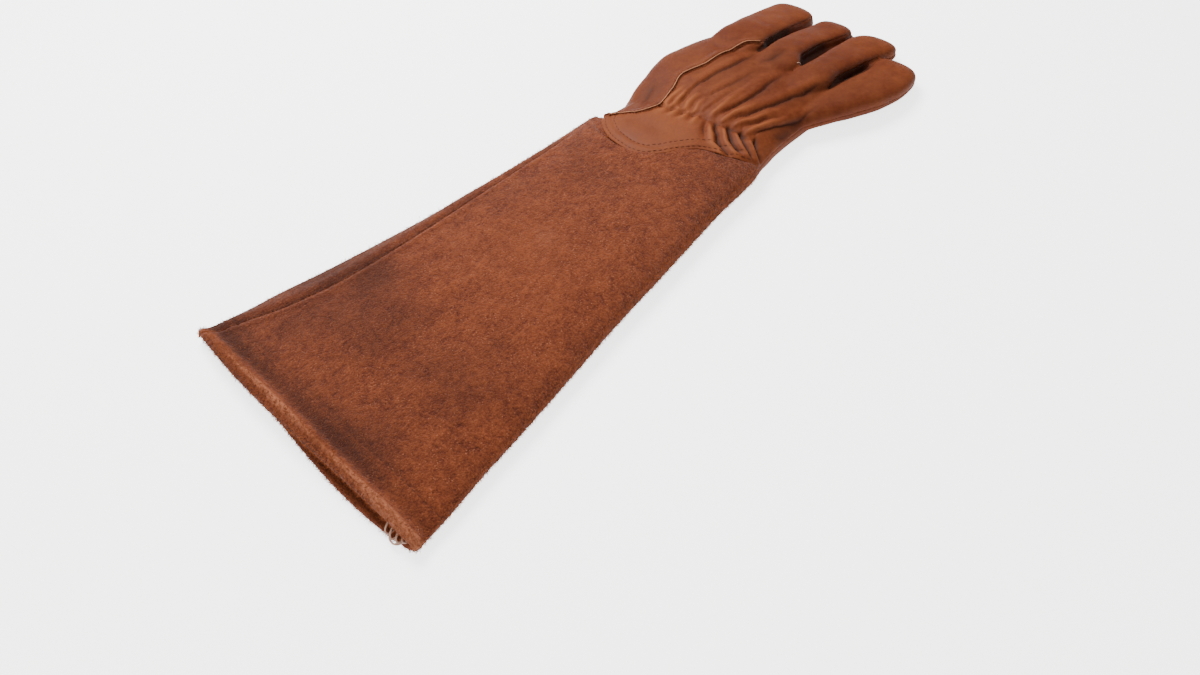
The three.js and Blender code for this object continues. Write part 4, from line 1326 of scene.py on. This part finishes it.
@dataclass
class Thumb:
    """The closed tube of the thumb, folded under the palm."""

    rows: tuple[tuple[float, float, float, float], ...] = (
        (0, 1.3, 0.36, 1.3), (0.1, 1.4, 0.44, 1.05), (0.25, 1.52, 0.5, 0.6),
        (0.45, 1.54, 0.5, 0.5), (0.7, 1.4, 0.47, 0.5), (1, 1.1, 0.44, 0.5),
    )
    sunk: float = 0.35
    root_share: float = 0.45

    def make(self) -> bpy.types.Object:
        """The thumb, without what lies inside the hand."""
        s = SIZES
        start = s.cuff_length + s.thumb_start
        table = Table(FINGER_COLUMNS, [
            (start + at * s.thumb_length, axis * s.thumb_width, half * s.thumb_width, h * s.thumb_thickness)
            for at, axis, half, h in self.rows
        ])
        tip = start + s.thumb_length
        rounding = s.thumb_width / 2
        rounded = tip - rounding * (1 - np.sin(np.linspace(0.03, 0.497, 22) * math.pi))
        along = np.concatenate([np.linspace(start, tip - rounding, 50), rounded])

        def place(u: Array, v: Array) -> Array:
            """Points on the thumb's outside."""
            x = along[v]
            into = np.clip((x - tip + rounding) / rounding, 0, 1)
            half = table.read("half", x) * np.sqrt(1 - into ** 2.2)
            thick = s.thumb_thickness / 2 * np.sqrt(1 - into ** 3)
            return oval(x, u, table.read("axis", x), half, table.read("height", x), thick)

        bm = Builder.tube(72, len(along) - 1, place, capped=True)
        x, y, z = np.array([face.calc_center_median() for face in bm.faces]).T
        inside = (z > FORM.rows.read("lift_left", x) - self.sunk) & (y < FORM.rows.read("left", x) - 1)
        inside &= x < start + self.root_share * s.thumb_length
        away = [face for face, hidden in zip(bm.faces, inside) if hidden]
        bmesh.ops.delete(bm, geom=away, context="FACES")
        piece = Builder.to_object(bm, "leather_thumb")
        Builder.walled(piece)
        return piece


class Surface:
    """Finds points on the dressed pieces from above or from below."""

    def __init__(self, pieces: Sequence[bpy.types.Object]) -> None:
        """Keeps one search tree for each piece."""
        graph = bpy.context.evaluated_depsgraph_get()
        self.trees = [BVHTree.FromObject(piece, graph) for piece in pieces]

    def hit(self, x: float, y: float, from_above: bool = True) -> tuple[Vector, Vector] | None:
        """The outermost point over or under a place of the pattern.

        Args:
            x: x in millimetres
            y: y in millimetres
            from_above: whether the ray comes from above

        Returns:
            The point and the normal in the frame's metres, or None.
        """
        high = 0.1 if from_above else -0.1
        start = Vector((x * MM + ORIGIN[0], y * MM + ORIGIN[1], high))
        found = [tree.ray_cast(start, Vector((0, 0, -1 if from_above else 1))) for tree in self.trees]
        found = [(place, normal, away) for place, normal, _, away in found if place is not None]
        if not found:
            return None
        place, normal, _ = min(found, key=lambda item: item[2])
        return place, normal


@dataclass(frozen=True)
class StitchRow:
    """A row of stitches along a line seen from above."""

    line: tuple[tuple[float, float], ...]
    pitch: float = 3.4
    length: float = 2.4
    thick: float = 0.42
    from_above: bool = True


class Stitching:
    """Rows of thread laid over the dressed pieces.

    A stitch is left out where the surface makes it longer or shorter than these shares of its length.
    """

    LONGEST, SHORTEST = 3, 0.2
    OVERLAP, RAISED = 1.1, 0.12

    def __init__(self, surface: Surface) -> None:
        """Keeps the surface that the stitches lie on."""
        self.surface = surface

    def add_row(self, bm: bmesh.types.BMesh, row: StitchRow) -> None:
        """Adds a row's stitches to the mesh, in the frame's metres."""
        corners = np.array(smooth_line(row.line, 1))
        lengths = np.concatenate([[0], np.cumsum(np.hypot(*np.diff(corners, axis=0).T))])
        for middle in np.arange(row.pitch / 2, lengths[-1], row.pitch):
            ends = []
            for at in (middle - row.length / 2, middle + row.length / 2):
                x, y = (float(np.interp(at, lengths, corners[:, axis])) for axis in (0, 1))
                ends.append(self.surface.hit(x, y, row.from_above))
            if None in ends:
                continue
            (a, normal_a), (b, normal_b) = ends
            along = b - a
            shortest, longest = (share * row.length * MM for share in (self.SHORTEST, self.LONGEST))
            if along.length > longest or along.length < shortest:
                continue
            out = (normal_a + normal_b).normalized()
            side = out.cross(along.normalized()).normalized()
            out = along.normalized().cross(side)
            turn = Matrix((along.normalized(), side, out)).transposed().to_4x4()
            thick = row.thick * MM / 2
            size = Matrix.Diagonal((along.length / 2 * self.OVERLAP, thick, thick, 1))
            place = Matrix.Translation((a + b) / 2 + out * self.RAISED * row.thick * MM)
            bmesh.ops.create_uvsphere(bm, u_segments=6, v_segments=5, radius=1, matrix=place @ turn @ size)

    def make(self, name: str, rows: Sequence[StitchRow]) -> bpy.types.Object:
        """One piece of all the rows.

        Args:
            name: the piece's name
            rows: the rows of stitches

        Returns:
            The piece.
        """
        bm = bmesh.new()
        for row in rows:
            self.add_row(bm, row)
        mesh = bpy.data.meshes.new(name)
        bm.to_mesh(mesh)
        bm.free()
        return add_piece(name, mesh)


def lap_line(offset: float, low: float = -52, high: float = 52) -> tuple[tuple[float, float], ...]:
    """A line at an offset from the leather's edge over the suede."""
    ys = np.linspace(low, high, 40)
    xs = FORM.lap_x(ys)
    slope = np.gradient(xs, ys)
    size = np.hypot(1, slope)
    moved = np.stack([xs + offset / size, ys - offset * slope / size], axis=1)
    return tuple((float(x), float(y)) for x, y in moved)


def hem_line(upper: bool) -> tuple[tuple[float, float], ...]:
    """The line of the hem's stitches over the upper or the lower layer."""
    low, high = (0.02, FORM.TOP_END - 0.02) if upper else (FORM.LEFT_END, FORM.BOTTOM_END)
    us = np.linspace(low, high, 80)
    points = FORM.ring(SIZES.hem_width + 0.5, us, 0.0)
    return tuple((float(x), float(y)) for x, y, _ in points)


@dataclass
class Nap:
    """Short fibres that stand out of the suede.

    At the edges they are broader and denser, and under the glove sparser, by the shares given.
    """

    count: int = 85000
    shortest: float = 0.5
    longest: float = 1.4
    edge_longest: float = 2.6
    width: float = 0.17
    edge_width: float = 1.5
    edge_density: float = 4.0
    below_density: float = 0.12
    scatter: float = 0.7
    seed: int = 11

    def make(self, piece: bpy.types.Object) -> bpy.types.Object:
        """Loose fibres over the piece's outside, each a narrow tapering strip.

        Args:
            piece: the suede

        Returns:
            The fibres as one piece.
        """
        mesh = piece.data
        count = len(mesh.polygons)
        middle, normal, area = np.zeros(count * 3), np.zeros(count * 3), np.zeros(count)
        mesh.polygons.foreach_get("center", middle)
        mesh.polygons.foreach_get("normal", normal)
        mesh.polygons.foreach_get("area", area)
        middle, normal = middle.reshape(-1, 3), normal.reshape(-1, 3)
        pattern = (middle - ORIGIN) / MM
        bare = pattern[:, 0] < FORM.lap_x(pattern[:, 1]) - 1
        outer = np.where(normal[:, 2] > -0.6, 1.0, self.below_density) * bare
        at_edge = (np.abs(normal[:, 2]) < 0.6) | (pattern[:, 0] < 4)
        edge = 1 + self.edge_density * at_edge
        rng = np.random.default_rng(self.seed)
        weight = area * outer * edge
        faces = rng.choice(count, self.count, p=weight / weight.sum())
        spread = rng.normal(size=(self.count, 3)) * (self.scatter * MM)
        spread -= normal[faces] * np.sum(spread * normal[faces], axis=1)[:, None]
        root = middle[faces] + spread
        lean = rng.normal(size=(self.count, 3))
        lean -= normal[faces] * np.sum(lean * normal[faces], axis=1)[:, None]
        lean /= np.linalg.norm(lean, axis=1)[:, None] + 1e-9
        rise = rng.uniform(0.15, 0.8, (self.count, 1))
        way = lean * np.sqrt(1 - rise ** 2) + normal[faces] * rise
        longest = np.where(at_edge[faces], self.edge_longest, self.longest)[:, None]
        length = lerp(self.shortest, longest, rng.uniform(0, 1, (self.count, 1)) ** 1.5) * MM
        side = np.cross(way, rng.normal(size=(self.count, 3)))
        broad = np.where(at_edge[faces], self.edge_width, 1.0)[:, None] * self.width * MM / 2
        side *= broad / (np.linalg.norm(side, axis=1)[:, None] + 1e-9)
        tip = root + way * length
        strips = np.stack([root - side, root + side, tip + 0.3 * side, tip - 0.3 * side], axis=1)
        strips[..., 2] = np.maximum(strips[..., 2], 0.0)
        bm = bmesh.new()
        bmesh.ops.create_grid(bm, x_segments=self.count, y_segments=1, size=1)
        bmesh.ops.split_edges(bm, edges=bm.edges)
        fibres = bpy.data.meshes.new("suede_nap")
        bm.to_mesh(fibres)
        bm.free()
        corners = np.zeros(len(fibres.loops), int)
        fibres.loops.foreach_get("vertex_index", corners)
        co = np.zeros((len(fibres.vertices), 3))
        co[corners] = strips.reshape(-1, 3)
        fibres.vertices.foreach_set("co", co.ravel())
        fibres.update()
        return add_piece("suede_nap", fibres, smooth=False)


def thread_piece(name: str, loops: Sequence[Sequence[Vector]], thick: float) -> bpy.types.Object:
    """Round threads through points of the frame, as one mesh.

    Args:
        name: the piece's name
        loops: the points of each thread, in metres
        thick: the thread's diameter in millimetres

    Returns:
        The piece.
    """
    curve = bpy.data.curves.new(name, "CURVE")
    curve.dimensions = "3D"
    curve.bevel_depth = thick * MM / 2
    curve.bevel_resolution = 2
    curve.resolution_u = 4
    curve.use_fill_caps = True
    for loop in loops:
        spline = curve.splines.new("NURBS")
        spline.points.add(len(loop) - 1)
        for point, place in zip(spline.points, loop):
            point.co = (*place, 1)
        spline.use_endpoint_u = True
        spline.order_u = 4
    soft = bpy.data.objects.new(name, curve)
    bpy.context.scene.collection.objects.link(soft)
    graph = bpy.context.evaluated_depsgraph_get()
    mesh = bpy.data.meshes.new_from_object(soft.evaluated_get(graph))
    bpy.data.objects.remove(soft)
    return add_piece(name, mesh)


@dataclass
class SeamTail:
    """Loops of pale thread left where the seam ends inside the mouth."""

    thick: float = 1.0

    def make(self) -> bpy.types.Object:
        """The loops as one piece of round thread."""
        loops = (
            ((5, -78, 8.0), (-1.5, -79.5, 7.2), (-5.0, -81.5, 5.0), (-2.5, -83.5, 3.6), (3, -82.6, 3.6)),
            ((5, -81, 8.0), (-1.5, -83.2, 6.8), (-5.4, -85.4, 4.4), (-2.6, -87.0, 3.2), (4, -85, 3.8)),
            ((5, -85, 8.0), (-0.6, -86.8, 6.8), (-4.4, -88.8, 4.6), (-2.0, -91.0, 3.4), (5, -89, 4.0)),
            ((4, -80, 4.4), (-3.4, -82.0, 4.0), (-5.2, -86.5, 3.0), (-4.0, -90.5, 3.2), (2, -92.5, 4.8)),
            ((4, -88, 6.4), (-2.4, -90.4, 5.6), (-2.8, -93.0, 4.2), (3, -93.5, 4.6)),
        )
        places = [[Vector(place) * MM + Vector(ORIGIN) for place in loop] for loop in loops]
        return thread_piece("seam_tail", places, self.thick)


@dataclass
class WrapEdge:
    """The pale raw edge of the wrapped panel, and the stitch that locks a finger's crotch."""

    thick: float = 0.65
    first: float = 277.0
    last: float = 394.0
    step: float = 1.6
    aside: float = 0.35
    raised: float = 0.12
    crotch_x: float = 6.0
    crotch_back: float = 5.0
    crotch_y: float = 1.5
    crotch_z: float = 24.0
    crotch_loop: Triples = ((-1.5, 0.4, -0.3), (0.5, 0.2, 0.5), (2.6, 0.0, -0.6), (3.4, -0.4, -3.4))

    def make(self, surface: Surface) -> bpy.types.Object:
        """The raised edge along the seam on the back of the hand."""
        table = Table(WRAP_COLUMNS, WRAP_ROWS)
        points = []
        for x in np.arange(self.first, self.last, self.step):
            found = surface.hit(float(x), float(table.read("y", x)) + self.aside)
            if found:
                points.append(found[0] + Vector((0, 0, self.raised * MM)))
        return thread_piece("wrap_edge", [points], self.thick)

    def make_crotch(self, surface: Surface) -> bpy.types.Object:
        """The pale stitch at the crotch of the middle and the ring finger."""
        x, y = SIZES.crotch_x + self.crotch_x, float(gap_y(1, SIZES.crotch_x)) + self.crotch_y
        found = surface.hit(x - self.crotch_back, y)
        top = found[0] if found else Vector((x * MM + ORIGIN[0], y * MM + ORIGIN[1], self.crotch_z * MM))
        loop = [top + Vector(step) * MM for step in self.crotch_loop]
        return thread_piece("crotch_stitch", [loop], self.thick)


@dataclass
class Studio:
    """A pale floor, soft light and the photograph's camera."""

    camera_at: tuple[float, float, float] = (-0.304129, -0.330666, 0.3982)
    right: tuple[float, float, float] = (0.7029, -0.7077, -0.0716)
    up: tuple[float, float, float] = (0.5714, 0.5018, 0.6494)
    lens: float = 28.98
    key: tuple[tuple[float, float, float], float, float] = ((0.14, 0.6, 0.93), 0.55, 25.0)
    fill: tuple[tuple[float, float, float], float, float] = ((-0.8, -0.5, 0.9), 1.6, 5.0)
    ambient: float = 0.52
    floor_size: float = 12.0
    floor_drop: float = 0.0002
    floor_glow: tuple[float, float] = (1.2, 2.8)

    def make(self) -> None:
        """Adds the camera, the floor and the lights."""
        right, up = Vector(self.right), Vector(self.up)
        back = right.cross(up)
        camera = bpy.data.objects.new("camera", bpy.data.cameras.new("camera"))
        camera.data.lens = self.lens
        camera.data.sensor_width = 36
        camera.data.sensor_fit = "HORIZONTAL"
        camera.data.clip_start = 0.01
        camera.data.dof.use_dof = False
        turn = Matrix((right, up, back)).transposed().to_4x4()
        camera.matrix_world = Matrix.Translation(self.camera_at) @ turn
        bpy.context.scene.collection.objects.link(camera)
        bpy.context.scene.camera = camera
        self.add_floor()
        self.add_light("key", *self.key)
        self.add_light("fill", *self.fill)
        world = bpy.data.worlds.new("studio")
        world.use_nodes = True
        world.node_tree.nodes["Background"].inputs["Color"].default_value = (1, 0.99, 0.98, 1)
        world.node_tree.nodes["Background"].inputs["Strength"].default_value = self.ambient
        bpy.context.scene.world = world

    def add_floor(self) -> None:
        """Adds the floor that the glove lies on, with more glow where the camera sees it."""
        bm = bmesh.new()
        bmesh.ops.create_grid(bm, x_segments=1, y_segments=1, size=self.floor_size)
        mesh = bpy.data.meshes.new("floor")
        bm.to_mesh(mesh)
        bm.free()
        floor = bpy.data.objects.new("floor", mesh)
        floor.location.z = -self.floor_drop
        bpy.context.scene.collection.objects.link(floor)
        white = Finish("pale_floor", "", (("Color", (0.95, 0.95, 0.95)),), roughness=0.9, specular=0.1).make()
        shader = white.node_tree.nodes["Principled BSDF"]
        shader.inputs["Emission Color"].default_value = (1, 1, 1, 1)
        n = Nodes(white.node_tree)
        seen = n.add("ShaderNodeLightPath").outputs["Is Camera Ray"]
        n.link(n.spread(seen, 0.0, 1.0, *self.floor_glow), shader.inputs["Emission Strength"])
        mesh.materials.append(white)

    @staticmethod
    def add_light(name: str, place: tuple[float, float, float], size: float, power: float) -> None:
        """Adds a square light that looks at the glove.

        Args:
            name: its name
            place: where it hangs
            size: its side in metres
            power: its power in watts
        """
        data = bpy.data.lights.new(name, "AREA")
        data.size = size
        data.energy = power
        light = bpy.data.objects.new(name, data)
        light.location = place
        light.rotation_mode = "QUATERNION"
        light.rotation_quaternion = (-Vector(place)).to_track_quat("-Z", "Y")
        bpy.context.scene.collection.objects.link(light)


def dress(piece: bpy.types.Object, material: bpy.types.Material, node: str = "") -> None:
    """Gives a piece its material and its place in the frame, with nothing of it below the floor.

    Args:
        piece: the piece
        material: its only material
        node: the CAD node that it stands for, if any
    """
    points = corners_of(piece.data)
    points[:, 2] = np.maximum(points[:, 2], 0.0)
    put_corners(piece.data, points)
    LOG.info("%s: %d faces", piece.name, len(piece.data.polygons))
    piece.data.materials.clear()
    piece.data.materials.append(material)
    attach(piece, BODY)
    if node:
        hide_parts(node)


def main() -> None:
    """Builds the glove piece by piece, and the studio round it."""
    logging.basicConfig(level=logging.INFO, format="%(name)s %(message)s")
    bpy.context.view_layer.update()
    suede_group()
    leather_group()
    suede, leather = SUEDE.make(), LEATHER.make()
    thread, pale, raw = THREAD.make(), PALE_THREAD.make(), RAW_EDGE.make()
    Studio().make()

    cuff = Cuff().make()
    dress(cuff, suede, "cuff")
    panels = Hand().make()
    for node, piece in panels.items():
        dress(piece, leather, node)
    thumb = Thumb().make()
    dress(thumb, leather, "thumb")

    surface = Surface([cuff, *panels.values()])
    stitching = Stitching(surface)
    hem = stitching.make("hem_stitches", [
        StitchRow(hem_line(True), pitch=4.2, length=2.6),
        StitchRow(hem_line(False), pitch=4.2, length=2.6, from_above=False),
    ])
    dress(hem, thread)
    lap = stitching.make("lap_stitches", [
        StitchRow(lap_line(offset), from_above=above) for offset in LAP_STITCHES for above in (True, False)
    ])
    dress(lap, thread)
    dress(Nap().make(cuff), FIBRE.make())
    dress(SeamTail().make(), pale)
    dress(WrapEdge().make(surface), raw)
    dress(WrapEdge().make_crotch(surface), pale)


if __name__ == "__main__":
    main()
